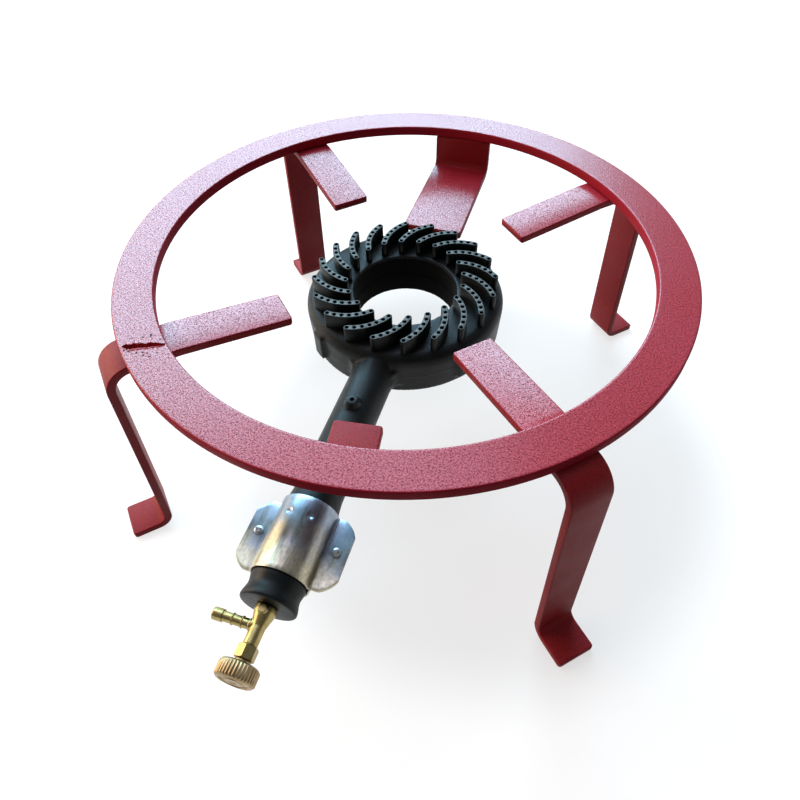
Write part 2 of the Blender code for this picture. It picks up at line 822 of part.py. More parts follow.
# Air sleeve halves, their ears rounded in plan and drilled for the rivets
ear_half_length = SLEEVE_LENGTH / 2 - EAR_TRIM
shell_side = sleeve_outer_radius + GAP
ear_plan = []
for x_side, y_side, start in ((1, 1, 0), (-1, 1, 90), (-1, -1, 180), (1, -1, 270)):
    corner = (x_side * (EAR_REACH - EAR_CORNER), y_side * (ear_half_length - EAR_CORNER))
    begin = math.radians(start)
    rounded = arc(corner, EAR_CORNER, begin, begin + math.pi / 2, BEND_STEPS)
    step = [
        (x_side * shell_side, y_side * ear_half_length),
        (x_side * shell_side, y_side * (SLEEVE_LENGTH / 2 + OVERSHOOT)),
    ]
    ear_plan += rounded + step if x_side == y_side else step[::-1] + rounded
plan_height = sleeve_outer_radius + OVERSHOOT
rivet_hole_radius = RIVET_SHANK_RADIUS + GAP
for half, side in (("upper", 1), ("lower", -1)):
    shell = as_mesh(
        flat_shape(
            f"air_sleeve_{half}", [half_shell(side)], SLEEVE_START, sleeve_end, zinc_sheet, sleeve_axis
        )
    )
    plan = as_mesh(
        flat_shape(
            f"ear_plan_{half}",
            [ear_plan],
            -plan_height,
            plan_height,
            None,
            sleeve_axis,
            (0, 0, sleeve_middle),
            ALONG_TUBE,
        )
    )
    boolean(shell, "INTERSECT", plan)
    for hand, x_side in (("left", -1), ("right", 1)):
        hole = rod(
            f"rivet_hole_{half}_{hand}",
            rivet_hole_radius,
            -plan_height,
            plan_height,
            SMALL_STEPS,
            sleeve_axis,
            (x_side * RIVET_REACH, 0, rivet_place),
            ALONG_TUBE,
        )
        boolean(shell, "DIFFERENCE", hole)

ear_face = GAP / 2 + SLEEVE_SHEET + GAP
rivet_top = ear_face + RIVET_HEAD_HEIGHT
crown = RIVET_HEAD_RADIUS / 2
rivet_profile = [
    (0, rivet_top),
    (crown, rivet_top),
    (RIVET_HEAD_RADIUS, ear_face + RIVET_HEAD_HEIGHT / 3),
    (RIVET_HEAD_RADIUS, ear_face),
    (RIVET_SHANK_RADIUS, ear_face),
    (RIVET_SHANK_RADIUS, -ear_face),
    (RIVET_HEAD_RADIUS, -ear_face),
    (RIVET_HEAD_RADIUS, -ear_face - RIVET_HEAD_HEIGHT / 3),
    (crown, -rivet_top),
    (0, -rivet_top),
]
for hand, x_side in (("left", -1), ("right", 1)):
    turned(
        f"sleeve_rivet_{hand}",
        rivet_profile,
        SMALL_STEPS,
        zinc_plate,
        sleeve_axis,
        (x_side * RIVET_REACH, 0, rivet_place),
        UP_FROM_TUBE,
        closed=False,
    )

# Valve body, with the seat that the needle closes and a socket for the barb
jet_socket_radius = JET_THREAD_RADIUS + GAP
jet_socket_top = thread_end + JET_THREAD_LENGTH + GAP
flange_top = face + VALVE_FLANGE_LENGTH
valve_body = turned(
    "valve_body",
    [
        (packing_bore_radius, valve_top),
        (VALVE_NECK_RADIUS, valve_top),
        (VALVE_NECK_RADIUS, flange_top + VALVE_TAPER_LENGTH),
        (VALVE_FLANGE_RADIUS, flange_top),
        (VALVE_FLANGE_RADIUS, face + GAP),
        (VALVE_THREAD_RADIUS, face + GAP),
        (VALVE_THREAD_RADIUS, thread_end),
        (jet_socket_radius, thread_end),
        (jet_socket_radius, jet_socket_top),
        (SEAT_RADIUS, jet_socket_top),
        (SEAT_RADIUS, seat_top - NEEDLE_LENGTH),
        (valve_bore_radius, seat_top),
        (valve_bore_radius, packing_floor),
        (packing_bore_radius, packing_floor),
    ],
    SMALL_STEPS,
    brass,
    tube_axis,
)
valve_boss = rod(
    "valve_boss",
    VALVE_BOSS_RADIUS,
    valve_bore_radius + GAP,
    VALVE_BOSS_RISE,
    SMALL_STEPS,
    tube_axis,
    (0, 0, face + GAP + VALVE_BOSS_RADIUS),
    UP_FROM_TUBE,
)
LEFT_OF_TUBE = (0, math.radians(-90), 0)
at_barb = (0, 0, barb_place)
barb_socket = rod(
    "barb_socket",
    barb_spigot_radius + GAP,
    0,
    VALVE_FLANGE_RADIUS + OVERSHOOT,
    SMALL_STEPS,
    tube_axis,
    at_barb,
    LEFT_OF_TUBE,
)
barb_shoulder = VALVE_NECK_RADIUS - BARB_SEAT_DEPTH
barb_seat = rod(
    "barb_seat",
    BARB_ROOT_RADIUS + GAP,
    barb_shoulder - GAP,
    VALVE_FLANGE_RADIUS + OVERSHOOT,
    SMALL_STEPS,
    tube_axis,
    at_barb,
    LEFT_OF_TUBE,
)
boolean(valve_body, "UNION", valve_boss)
boolean(valve_body, "DIFFERENCE", barb_socket, barb_seat)

# Hose barb: round head, ridges behind it, and a spigot in the valve body
barb_head_back = BARB_REACH - BARB_HEAD_LENGTH
barb_profile = [
    (BARB_BORE_RADIUS, BARB_REACH),
    (BARB_ROOT_RADIUS, BARB_REACH),
    (BARB_HEAD_RADIUS, BARB_REACH - BARB_HEAD_LENGTH / 3),
    (BARB_HEAD_RADIUS, barb_head_back),
    (BARB_ROOT_RADIUS, barb_head_back),
]
for i in range(BARB_RIDGES):
    ridge = barb_head_back - (i + 1) * BARB_RIDGE_PITCH
    barb_profile += [
        (BARB_ROOT_RADIUS, ridge + BARB_RIDGE_LENGTH / 2),
        (BARB_RIDGE_RADIUS, ridge),
        (BARB_ROOT_RADIUS, ridge - BARB_RIDGE_LENGTH / 2),
    ]
barb_profile += [
    (BARB_ROOT_RADIUS, barb_shoulder),
    (barb_spigot_radius, barb_shoulder),
    (barb_spigot_radius, valve_bore_radius + GAP),
    (BARB_BORE_RADIUS, valve_bore_radius + GAP),
]
turned("hose_barb", barb_profile, SMALL_STEPS, brass, tube_axis, at_barb, LEFT_OF_TUBE)

# Gas jet, screwed into the valve body's inner end
jet_back = thread_end - GAP
jet_front = jet_back - JET_HEAD_LENGTH
turned(
    "gas_jet",
    [
        (JET_ORIFICE_RADIUS, thread_end + JET_THREAD_LENGTH),
        (JET_THREAD_RADIUS, thread_end + JET_THREAD_LENGTH),
        (JET_THREAD_RADIUS, jet_back),
        (JET_HEAD_RADIUS, jet_back),
        (JET_HEAD_RADIUS, jet_front),
        (JET_THREAD_RADIUS, jet_front - JET_NOSE_LENGTH),
        (JET_ORIFICE_RADIUS, jet_front - JET_NOSE_LENGTH),
    ],
    SMALL_STEPS,
    brass,
    tube_axis,
)

# Packing ring under the bonnet nut
packing_radius = packing_bore_radius - GAP
turned(
    "stem_packing",
    [
        (stem_hole_radius, valve_top),
        (packing_radius, valve_top),
        (packing_radius, packing_floor + GAP),
        (stem_hole_radius, packing_floor + GAP),
    ],
    SMALL_STEPS,
    white_packing,
    tube_axis,
)
hexagon("bonnet_nut", BONNET_WIDTH, stem_hole_radius, bonnet_start, bonnet_end, brass, tube_axis)

# Needle stem, closed on its seat
stem_end = knob_front - KNOB_WEB - GAP
needle_tip_radius = SEAT_RADIUS - GAP
turned(
    "needle_stem",
    [
        (0, stem_end),
        (STEM_RADIUS, stem_end),
        (STEM_RADIUS, seat_top),
        (needle_tip_radius, seat_top - NEEDLE_LENGTH),
        (0, seat_top - NEEDLE_LENGTH),
    ],
    SMALL_STEPS,
    zinc_plate,
    stem_axis,
    closed=False,
)

# Knob: fluted rim, a hub behind it and a dished front
flutes = []
for i in range(2 * KNOB_FLUTES):
    radius = KNOB_RADIUS - (i % 2) * KNOB_FLUTE_DEPTH
    angle = i * math.pi / KNOB_FLUTES
    flutes.append((radius * math.cos(angle), radius * math.sin(angle)))
knob = as_mesh(
    flat_shape("valve_knob", [flutes], knob_back, knob_front, knob_brass, stem_axis, chamfer=KNOB_CHAMFER)
)
hub_end = knob_back + KNOB_CHAMFER
knob_hub = rod("knob_hub", KNOB_HUB_RADIUS, knob_hub_start, hub_end, SMALL_STEPS, stem_axis)
hole_start = knob_hub_start - OVERSHOOT
hole_end = knob_front - KNOB_WEB
knob_hole = rod("knob_hole", stem_hole_radius, hole_start, hole_end, SMALL_STEPS, stem_axis)
knob_dish = turned(
    "knob_dish",
    [
        (KNOB_DISH_INNER, knob_front + OVERSHOOT),
        (KNOB_DISH_OUTER, knob_front + OVERSHOOT),
        (KNOB_DISH_OUTER, knob_front - KNOB_DISH_DEPTH),
        (KNOB_DISH_INNER, knob_front - KNOB_DISH_DEPTH),
    ],
    2 * SMALL_STEPS,
    None,
    stem_axis,
)
boolean(knob, "UNION", knob_hub)
boolean(knob, "DIFFERENCE", knob_hole, knob_dish)
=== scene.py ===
"""Propane burner stand: a red pot ring on four legs, a cast ring burner and its brass gas valve."""

import math

import bmesh
import bpy
from mathutils import Matrix, Vector


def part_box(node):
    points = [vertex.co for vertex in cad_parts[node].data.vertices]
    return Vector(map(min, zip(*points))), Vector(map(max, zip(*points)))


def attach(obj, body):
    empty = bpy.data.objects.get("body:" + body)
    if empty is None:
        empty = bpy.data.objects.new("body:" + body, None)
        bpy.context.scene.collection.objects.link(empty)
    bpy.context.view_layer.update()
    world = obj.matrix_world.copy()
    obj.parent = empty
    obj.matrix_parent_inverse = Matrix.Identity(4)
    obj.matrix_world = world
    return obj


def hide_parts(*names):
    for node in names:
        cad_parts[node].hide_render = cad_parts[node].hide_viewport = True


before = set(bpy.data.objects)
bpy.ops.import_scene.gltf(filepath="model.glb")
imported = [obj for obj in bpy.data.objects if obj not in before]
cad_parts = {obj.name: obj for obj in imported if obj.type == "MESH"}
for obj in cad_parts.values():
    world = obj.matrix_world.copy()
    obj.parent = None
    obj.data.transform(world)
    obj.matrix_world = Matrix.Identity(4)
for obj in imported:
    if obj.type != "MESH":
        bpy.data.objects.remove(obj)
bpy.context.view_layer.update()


# Pot ring
# Flat bar rolled into a hoop, closed by one skew butt weld that was left open along its middle.
# Steel, sprayed with red powder that wrinkles as it bakes.
RING_WIDTH = 0.028
RING_EDGE = 0.0011
RING_STEPS = 300
RING_ACROSS = 26
CORNER_STEPS = 4
WELD_AZIMUTH = math.radians(-132)
WELD_ZONE = 0.012
WELD_ZONE_STEPS = 64
WELD_DEPTH = 0.0028
# Each end of the open seam: radius, place along the ring and half its width
SEAM_OUTSIDE = (0.2050, -0.0059, 0.0025)
SEAM_INSIDE = (0.1812, 0.0054, 0.0013)
# The seam wanders slowly and shakes quickly from end to end: how far, and through how many radians
SEAM_WANDER = 0.0003
SEAM_WANDER_TURN = 17
SEAM_SHAKE = 0.0002
SEAM_SHAKE_TURN = 31
SEAM_BLUNTNESS = 5
# The lip of weld metal beside it, its place and spread counted in half widths of the seam
SEAM_LIP = 0.0006
LIP_PLACE = 1.35
LIP_SPREAD = 0.3
LIP_RAG_DEPTH = 0.4
LIP_RAGS = 41
LIP_RAGS_ALONG = 70
SMOOTH_ANGLE = math.radians(38)
FUSE = 0.000001
ring_low, ring_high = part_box("pot_ring")
stand_axis = Matrix.Translation(((ring_low.x + ring_high.x) / 2, (ring_low.y + ring_high.y) / 2, 0))
ring_radius = (ring_high.x - ring_low.x) / 2
ring_inner_radius = ring_radius - RING_WIDTH
ring_middle_radius = ring_radius - RING_WIDTH / 2
ring_thickness = ring_high.z - ring_low.z
ring_middle_height = (ring_high.z + ring_low.z) / 2


def linear(hex_value):
    """An sRGB hex value as linear RGBA."""
    channels = [int(hex_value[i : i + 2], 16) / 255 for i in (1, 3, 5)]
    return (*[c / 12.92 if c <= 0.04045 else ((c + 0.055) / 1.055) ** 2.4 for c in channels], 1)


def feed(tree, node, inputs):
    """Sets a node's inputs to values, or links them to other nodes' sockets."""
    for name, value in inputs.items():
        if isinstance(value, bpy.types.NodeSocket):
            tree.links.new(value, node.inputs[name])
        else:
            node.inputs[name].default_value = value


def add_node(tree, kind, inputs, **settings):
    """A node with its settings and inputs."""
    made = tree.nodes.new(kind)
    for name, value in settings.items():
        setattr(made, name, value)
    feed(tree, made, inputs)
    return made


def new_finish(name):
    """A material, its node tree and its shader."""
    made = bpy.data.materials.new(name)
    made.use_nodes = True
    return made, made.node_tree, made.node_tree.nodes["Principled BSDF"]


# Red wrinkle powder coat, sprayed from above. On top it draws up in fine wrinkles: their crests have a
# clear skin that mirrors the sky, and the hollows between them are painted a darker red as painted shade;
# the sides are painted a darker red too, as painted shade. The wrinkles are drawn about 1 mm wide, as fine
# as the render can show. A few pinholes are left where air came out of it, and pits close together round
# the ring's weld.
WRINKLE = 0.00105
WRINKLE_HEIGHT = 0.00011
HOLLOW_SKIN = 0.14
SPRAY_CLOUD = 0.060
PINHOLE_SPACING = 0.014
PINHOLE_SIZE = 0.0006
WELD_PIT_SPACING = 0.0055
WELD_PIT_SIZE = 0.0009
WELD_PIT_REACH = 0.013
WELD_PIT_FADE = 0.9  # share of the reach where the pits start to thin out
SPECK_FLOOR = 0.6  # share of a hole's or pit's radius that is fully dark
DRY_SHADED_SLOPE = 0.8
WET_SLOPE = 0.98
DRY_SHADED_HEIGHT = 0.03
DRY_WRINKLE_HEIGHT = 0.6 * WRINKLE_HEIGHT


def sprayed_wrinkles(tree):
    """The place on a bar, the clouds of the spray and the wrinkles' crests, which both red coats share."""
    place = add_node(tree, "ShaderNodeTexCoord", {}).outputs["Object"]
    clouds = add_node(
        tree,
        "ShaderNodeTexNoise",
        {"Vector": place, "Scale": 1 / SPRAY_CLOUD, "Detail": 3.0, "Roughness": 0.55},
    ).outputs[0]
    wrinkles = add_node(
        tree,
        "ShaderNodeTexNoise",
        {"Vector": place, "Scale": 1 / WRINKLE, "Detail": 1.5, "Roughness": 0.55, "Distortion": 0.4},
    ).outputs[0]
    crests = add_node(
        tree,
        "ShaderNodeMapRange",
        {"Value": wrinkles, "From Min": 0.31, "From Max": 0.60, "To Min": 0.0, "To Max": 1.0},
    ).outputs[0]
    return place, clouds, crests


powder_coat, tree, shader = new_finish("red_wrinkle_powder_coat")
place, clouds, crests = sprayed_wrinkles(tree)
facing = add_node(tree, "ShaderNodeNewGeometry", {}).outputs["Normal"]
upward = add_node(tree, "ShaderNodeSeparateXYZ", {0: facing}).outputs["Z"]
on_top = add_node(
    tree,
    "ShaderNodeMapRange",
    {"Value": upward, "From Min": DRY_SHADED_SLOPE, "From Max": WET_SLOPE, "To Min": 0.0, "To Max": 1.0},
    interpolation_type="SMOOTHSTEP",
).outputs[0]
crest_color = add_node(
    tree, "ShaderNodeMix", {0: clouds, 6: linear("#be1a35"), 7: linear("#c2252e")}, data_type="RGBA"
).outputs[2]
# Painted shade: the hollows between the wrinkles take a darker red
top_color_hollows_shaded = add_node(
    tree, "ShaderNodeMix", {0: crests, 6: linear("#840f23"), 7: crest_color}, data_type="RGBA"
).outputs[2]
# Painted shade: faces that turn away from up fade to a darker red
color_with_shaded_sides = add_node(
    tree, "ShaderNodeMix", {0: on_top, 6: linear("#a41427"), 7: top_color_hollows_shaded}, data_type="RGBA"
).outputs[2]
pinholes = add_node(
    tree, "ShaderNodeTexVoronoi", {"Vector": place, "Scale": 1 / PINHOLE_SPACING}, feature="F1"
).outputs["Distance"]
pinhole_rim = add_node(
    tree,
    "ShaderNodeMapRange",
    {
        "Value": pinholes,
        "From Min": SPECK_FLOOR * PINHOLE_SIZE / PINHOLE_SPACING,
        "From Max": PINHOLE_SIZE / PINHOLE_SPACING,
        "To Min": 0.0,
        "To Max": 1.0,
    },
).outputs[0]
weld_place = stand_axis @ Vector(
    (ring_middle_radius * math.cos(WELD_AZIMUTH), ring_middle_radius * math.sin(WELD_AZIMUTH), ring_high.z)
)
from_weld = add_node(tree, "ShaderNodeVectorMath", {0: place, 1: weld_place}, operation="DISTANCE")
near_weld = add_node(
    tree,
    "ShaderNodeMapRange",
    {
        "Value": from_weld.outputs["Value"],
        "From Min": WELD_PIT_FADE * WELD_PIT_REACH,
        "From Max": WELD_PIT_REACH,
        "To Min": 1.0,
        "To Max": 0.0,
    },
).outputs[0]
pits = add_node(
    tree,
    "ShaderNodeTexVoronoi",
    {"Vector": place, "Scale": 1 / WELD_PIT_SPACING},
    feature="F1",
    voronoi_dimensions="2D",
).outputs["Distance"]
pit_depth = add_node(
    tree,
    "ShaderNodeMapRange",
    {
        "Value": pits,
        "From Min": SPECK_FLOOR * WELD_PIT_SIZE / WELD_PIT_SPACING,
        "From Max": WELD_PIT_SIZE / WELD_PIT_SPACING,
        "To Min": 1.0,
        "To Max": 0.0,
    },
).outputs[0]
top_near_weld = add_node(tree, "ShaderNodeMath", {0: near_weld, 1: on_top}, operation="MULTIPLY").outputs[0]
pitted = add_node(tree, "ShaderNodeMath", {0: pit_depth, 1: top_near_weld}, operation="MULTIPLY").outputs[0]
whole_coat = add_node(
    tree, "ShaderNodeMath", {0: pinhole_rim, 1: pitted}, operation="SUBTRACT", use_clamp=True
).outputs[0]
coat_color = add_node(
    tree, "ShaderNodeMix", {0: whole_coat, 6: linear("#2a0409"), 7: color_with_shaded_sides}, data_type="RGBA"
).outputs[2]
gloss = add_node(
    tree,
    "ShaderNodeMapRange",
    {"Value": clouds, "From Min": 0.3, "From Max": 0.7, "To Min": 0.62, "To Max": 0.78},
).outputs[0]
crest_skin = add_node(
    tree,
    "ShaderNodeMapRange",
    {"Value": crests, "From Min": 0.0, "From Max": 1.0, "To Min": HOLLOW_SKIN, "To Max": 1.0},
).outputs[0]
top_skin = add_node(tree, "ShaderNodeMath", {0: crest_skin, 1: on_top}, operation="MULTIPLY").outputs[0]
clear_skin = add_node(tree, "ShaderNodeMath", {0: top_skin, 1: whole_coat}, operation="MULTIPLY").outputs[0]
raised = add_node(tree, "ShaderNodeMath", {0: crests, 1: on_top}, operation="MULTIPLY").outputs[0]
heights = add_node(tree, "ShaderNodeMath", {0: raised, 1: whole_coat}, operation="ADD").outputs[0]
relief = add_node(
    tree, "ShaderNodeBump", {"Height": heights, "Strength": 1.0, "Distance": WRINKLE_HEIGHT}
).outputs[0]
feed(
    tree,
    shader,
    {
        "Base Color": coat_color,
        "Roughness": gloss,
        "Specular IOR Level": 0.2,
        "Coat Weight": clear_skin,
        "Coat Roughness": 0.26,
        "Coat IOR": 1.7,
        "Normal": relief,
    },
)

# The same powder where it lies thin and dry, painted a darker red as painted shade: on the sides of the
# bars, under the ring's edge and near the floor. Its wrinkles are lower there, with painted shade in their
# hollows, and no clear skin forms on them, so it looks matt.
dry_shaded_coat, tree, shader = new_finish("dry_red_powder_coat_painted_shade")
place, clouds, crests = sprayed_wrinkles(tree)
crest_color = add_node(
    tree, "ShaderNodeMix", {0: clouds, 6: linear("#a01318"), 7: linear("#a6181d")}, data_type="RGBA"
).outputs[2]
# Painted shade: the hollows between the low wrinkles take a darker red
dry_shaded_color = add_node(
    tree, "ShaderNodeMix", {0: crests, 6: linear("#7f0d12"), 7: crest_color}, data_type="RGBA"
).outputs[2]
gloss = add_node(
    tree,
    "ShaderNodeMapRange",
    {"Value": clouds, "From Min": 0.3, "From Max": 0.7, "To Min": 0.5, "To Max": 0.65},
).outputs[0]
relief = add_node(
    tree, "ShaderNodeBump", {"Height": crests, "Strength": 1.0, "Distance": DRY_WRINKLE_HEIGHT}
).outputs[0]
feed(
    tree,
    shader,
    {"Base Color": dry_shaded_color, "Roughness": gloss, "Specular IOR Level": 0.3, "Normal": relief},
)


def skin(rows, loop=False):
    """A closed mesh over rows of points, each row a closed turn; loop joins the last row to the first."""
    shape = bmesh.new()
    verts = [[shape.verts.new(point) for point in row] for row in rows]
    pairs = list(zip(verts, verts[1:]))
    if loop:
        pairs.append((verts[-1], verts[0]))
    for row, after in pairs:
        for i in range(len(row)):
            k = (i + 1) % len(row)
            shape.faces.new((row[i], row[k], after[k], after[i]))
    if not loop:
        shape.faces.new(verts[0][::-1])
        shape.faces.new(verts[-1])
    bmesh.ops.remove_doubles(shape, verts=shape.verts, dist=FUSE)
    bmesh.ops.dissolve_degenerate(shape, edges=shape.edges, dist=FUSE)
    return shape


def piece(name, shape, place, *finishes):
    """An object in the frame's own axes, from a mesh drawn in the axes of its place."""
    bmesh.ops.transform(shape, matrix=place, verts=shape.verts)
    bmesh.ops.recalc_face_normals(shape, faces=shape.faces)
    mesh = bpy.data.meshes.new(name)
    shape.to_mesh(mesh)
    shape.free()
    mesh.shade_smooth()
    mesh.set_sharp_from_angle(angle=SMOOTH_ANGLE)
    for finish in finishes:
        mesh.materials.append(finish)
    made = bpy.data.objects.new(name, mesh)
    bpy.context.scene.collection.objects.link(made)
    return made


def off_axis(face):
    """How far a face lies from the middle of the stand."""
    return (face.center - stand_axis.translation).xy.length


def bar_section(width, thickness, edge, inset=0.0, across=1):
    """A flat bar's section with rounded edges, as (across, up) points; inset draws it in all round."""
    half_width = width / 2 - inset
    half_thickness = thickness / 2 - inset
    radius = max(edge - inset, 0.0)
    points = []
    for quarter, (x, y) in enumerate(((1, 1), (-1, 1), (-1, -1), (1, -1))):
        for i in range(CORNER_STEPS + 1):
            angle = math.pi / 2 * (quarter + i / CORNER_STEPS)
            corner_x = x * (half_width - radius) + radius * math.cos(angle)
            corner_y = y * (half_thickness - radius) + radius * math.sin(angle)
            points.append((corner_x, corner_y))
        if quarter == 0:
            span = half_width - radius
            points += [(span - 2 * span * i / across, half_thickness) for i in range(1, across)]
    return points


zone_angle = WELD_ZONE / ring_middle_radius
ring_angles = [
    zone_angle + (2 * math.pi - 2 * zone_angle) * i / RING_STEPS for i in range(RING_STEPS)
] + [-zone_angle + 2 * zone_angle * i / WELD_ZONE_STEPS for i in range(WELD_ZONE_STEPS)]
ring_rows = []
for angle in ring_angles:
    row = []
    along = (angle + math.pi) % (2 * math.pi) - math.pi
    for across, up in bar_section(RING_WIDTH, ring_thickness, RING_EDGE, across=RING_ACROSS):
        radius = ring_middle_radius + across
        share = (radius - SEAM_INSIDE[0]) / (SEAM_OUTSIDE[0] - SEAM_INSIDE[0])
        if up > 0 and abs(along) < zone_angle and 0 < share < 1:
            middle = SEAM_INSIDE[1] + (SEAM_OUTSIDE[1] - SEAM_INSIDE[1]) * share
            wander = SEAM_WANDER * math.sin(SEAM_WANDER_TURN * share)
            middle += wander + SEAM_SHAKE * math.sin(SEAM_SHAKE_TURN * share + 1)
            half = SEAM_INSIDE[2] + (SEAM_OUTSIDE[2] - SEAM_INSIDE[2]) * share
            half *= (1 - abs(2 * share - 1) ** SEAM_BLUNTNESS) ** 0.5
            away = abs(along * radius - middle) / half
            up -= WELD_DEPTH * max(0.0, 1 - away * away) ** 0.5
            rag = math.sin(LIP_RAGS * share + LIP_RAGS_ALONG * along)
            ragged = 1 - LIP_RAG_DEPTH + LIP_RAG_DEPTH * rag
            lip = SEAM_LIP * ragged * math.exp(-(((away - LIP_PLACE) / LIP_SPREAD) ** 2))
            up += lip if away > 1 else 0
        azimuth = WELD_AZIMUTH + angle
        row.append((radius * math.cos(azimuth), radius * math.sin(azimuth), ring_middle_height + up))
    ring_rows.append(row)
ring = piece("ring_bar", skin(ring_rows, loop=True), stand_axis, powder_coat, dry_shaded_coat)
# Painted shade in the weld's groove: its sides below the top take the darker dry coat
for face in ring.data.polygons:
    in_seam = SEAM_INSIDE[0] < off_axis(face) < SEAM_OUTSIDE[0]
    below_top = ring_middle_height < face.center.z < ring_high.z
    face.material_index = 1 if in_seam and below_top and face.normal.z < DRY_SHADED_SLOPE else 0
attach(ring, "stand")
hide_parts("pot_ring")


# Legs
# Four lengths of 30 mm flat bar, each bent three times: an arm that reaches in under the ring,
# a post, and a foot turned out. Sheared, bent cold, welded under the ring and sprayed with it.
BAR_WIDTH = 0.030
BAR_THICKNESS = 0.006
BAR_EDGE = 0.0010
BEND_STEPS = 10
END_CORNER = 0.0024
END_STEPS = 5
LEG_PATH = [(0.0960, 0.1717), (0.1740, 0.1787), (0.2225, 0.1787), (0.2330, 0.0030), (0.2630, 0.0030)]
LEG_BENDS = [0.040, 0.014, 0.007]
LEG_AZIMUTHS = {"rear_right": 45, "rear_left": 135, "front_left": 225, "front_right": 315}


def bend_line(path, bends, thickness):
    """The middle line of a bent bar in (radius, height), with its heading at each point."""
    line = []
    for i, point in enumerate(path):
        here = Vector(point)
        sides = [(path[i - 1], point)] if i else []
        sides += [(point, path[i + 1])] if i + 1 < len(path) else []
        ways = [(Vector(b) - Vector(a)).normalized() for a, b in sides]
        if len(ways) == 1:
            line.append((here, math.atan2(ways[0].y, ways[0].x)))
            continue
        heading = math.atan2(ways[0].y, ways[0].x)
        turn = (math.atan2(ways[1].y, ways[1].x) - heading + math.pi) % (2 * math.pi) - math.pi
        side = 1 if turn > 0 else -1
        radius = bends[i - 1] + thickness / 2
        start = here - ways[0] * radius * math.tan(abs(turn) / 2)
        center = start + Vector((-ways[0].y, ways[0].x)) * side * radius
        for k in range(BEND_STEPS + 1):
            now = heading + turn * k / BEND_STEPS
            line.append((center + Vector((math.sin(now), -math.cos(now))) * side * radius, now))
    return line


def give_dry_shaded_coat(bar):
    """Gives the dry coat, painted darker as shade, to faces of a bar that look sideways or down, or lie low
    or outside the ring.
    """
    bar.data.materials.append(dry_shaded_coat)
    for face in bar.data.polygons:
        # Painted shade: low faces and faces under the ring's edge take the darker coat
        shaded_place = face.center.z < DRY_SHADED_HEIGHT or off_axis(face) > ring_radius - RING_WIDTH / 4
        face.material_index = 1 if shaded_place or face.normal.z < DRY_SHADED_SLOPE else 0


def bent_bar(path, bends, width, thickness, edge):
    """A flat bar bent in the plane of local x and z, its edges eased and the corners of its ends rounded."""
    line = bend_line(path, bends, thickness)
    ends = []
    for i in range(END_STEPS + 1):
        angle = math.pi / 2 * i / END_STEPS
        back = END_CORNER * (1 - math.cos(angle))
        ends.append((back, END_CORNER * (1 - math.sin(angle)), max(0.0, edge - back)))
    stations = []
    for (point, heading), way, some in ((line[0], 1, ends), (line[-1], -1, ends[::-1])):
        ahead = Vector((math.cos(heading), math.sin(heading))) * way
        stations.append([(point + ahead * back, heading, aside, inset) for back, aside, inset in some])
    middle = [(point, heading, 0.0, 0.0) for point, heading in line[1:-1]]
    rows = []
    for point, heading, aside, inset in stations[0] + middle + stations[1]:
        up = Vector((-math.sin(heading), math.cos(heading)))
        section = bar_section(width - 2 * aside + 2 * min(aside, inset), thickness, edge, inset)
        rows.append([(point.x + up.x * v, u, point.y + up.y * v) for u, v in section])
    return skin(rows)


for corner, degrees in LEG_AZIMUTHS.items():
    turn = stand_axis @ Matrix.Rotation(math.radians(degrees), 4, "Z")
    leg = piece(
        f"leg_bar_{corner}",
        bent_bar(LEG_PATH, LEG_BENDS, BAR_WIDTH, BAR_THICKNESS, BAR_EDGE),
        turn,
        powder_coat,
    )
    give_dry_shaded_coat(leg)
    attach(leg, "stand")
    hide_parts(f"leg_{corner}")


# Rear strap
# A wider flat bar bent once: it drops from the ring's underside and turns in as a shelf.
# The burner's rear lug is bolted up under the shelf.
STRAP_WIDTH = 0.050
STRAP_PATH = [(0.1830, 0.1817), (0.1830, 0.1516), (0.0770, 0.1516)]
STRAP_BENDS = [0.005]
strap = piece(
    "strap_bar",
    bent_bar(STRAP_PATH, STRAP_BENDS, STRAP_WIDTH, BAR_THICKNESS, BAR_EDGE),
    stand_axis @ Matrix.Rotation(math.radians(90), 4, "Z"),
    powder_coat,
)
give_dry_shaded_coat(strap)
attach(strap, "stand")
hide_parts("rear_strap")


# Front tab
# A short end of the leg bar welded under the ring over the burner tube, beside its middle line.
# It carries the hook rod. It lies in the ring's shadow, so it takes the dry coat on top too, darker as
# painted shade.
TAB_AZIMUTH = math.radians(-82.6)
TAB_PATH = [(0.157, 0.1787), (0.200, 0.1787)]
tab = piece(
    "tab_bar",
    bent_bar(TAB_PATH, [], BAR_WIDTH, BAR_THICKNESS, BAR_EDGE),
    stand_axis @ Matrix.Rotation(TAB_AZIMUTH, 4, "Z"),
    dry_shaded_coat,
)
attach(tab, "stand")
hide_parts("front_tab")


# Hook rod
# Round bar welded under the tab, bent down beside the burner tube and round beneath it.
# It keeps the tube from dropping; the same red coat runs over it.
HOOK_RADIUS = 0.005
HOOK_EDGE = 0.0008
HOOK_STEPS = 24
HOOK_ARC_STEPS = 28
HOOK_END = math.radians(-165)
TUBE_HEIGHT = 0.1328
HOOK_SIDE = 0.0208
HOOK_REACH = 0.162
HOOK_TOP = 0.1754
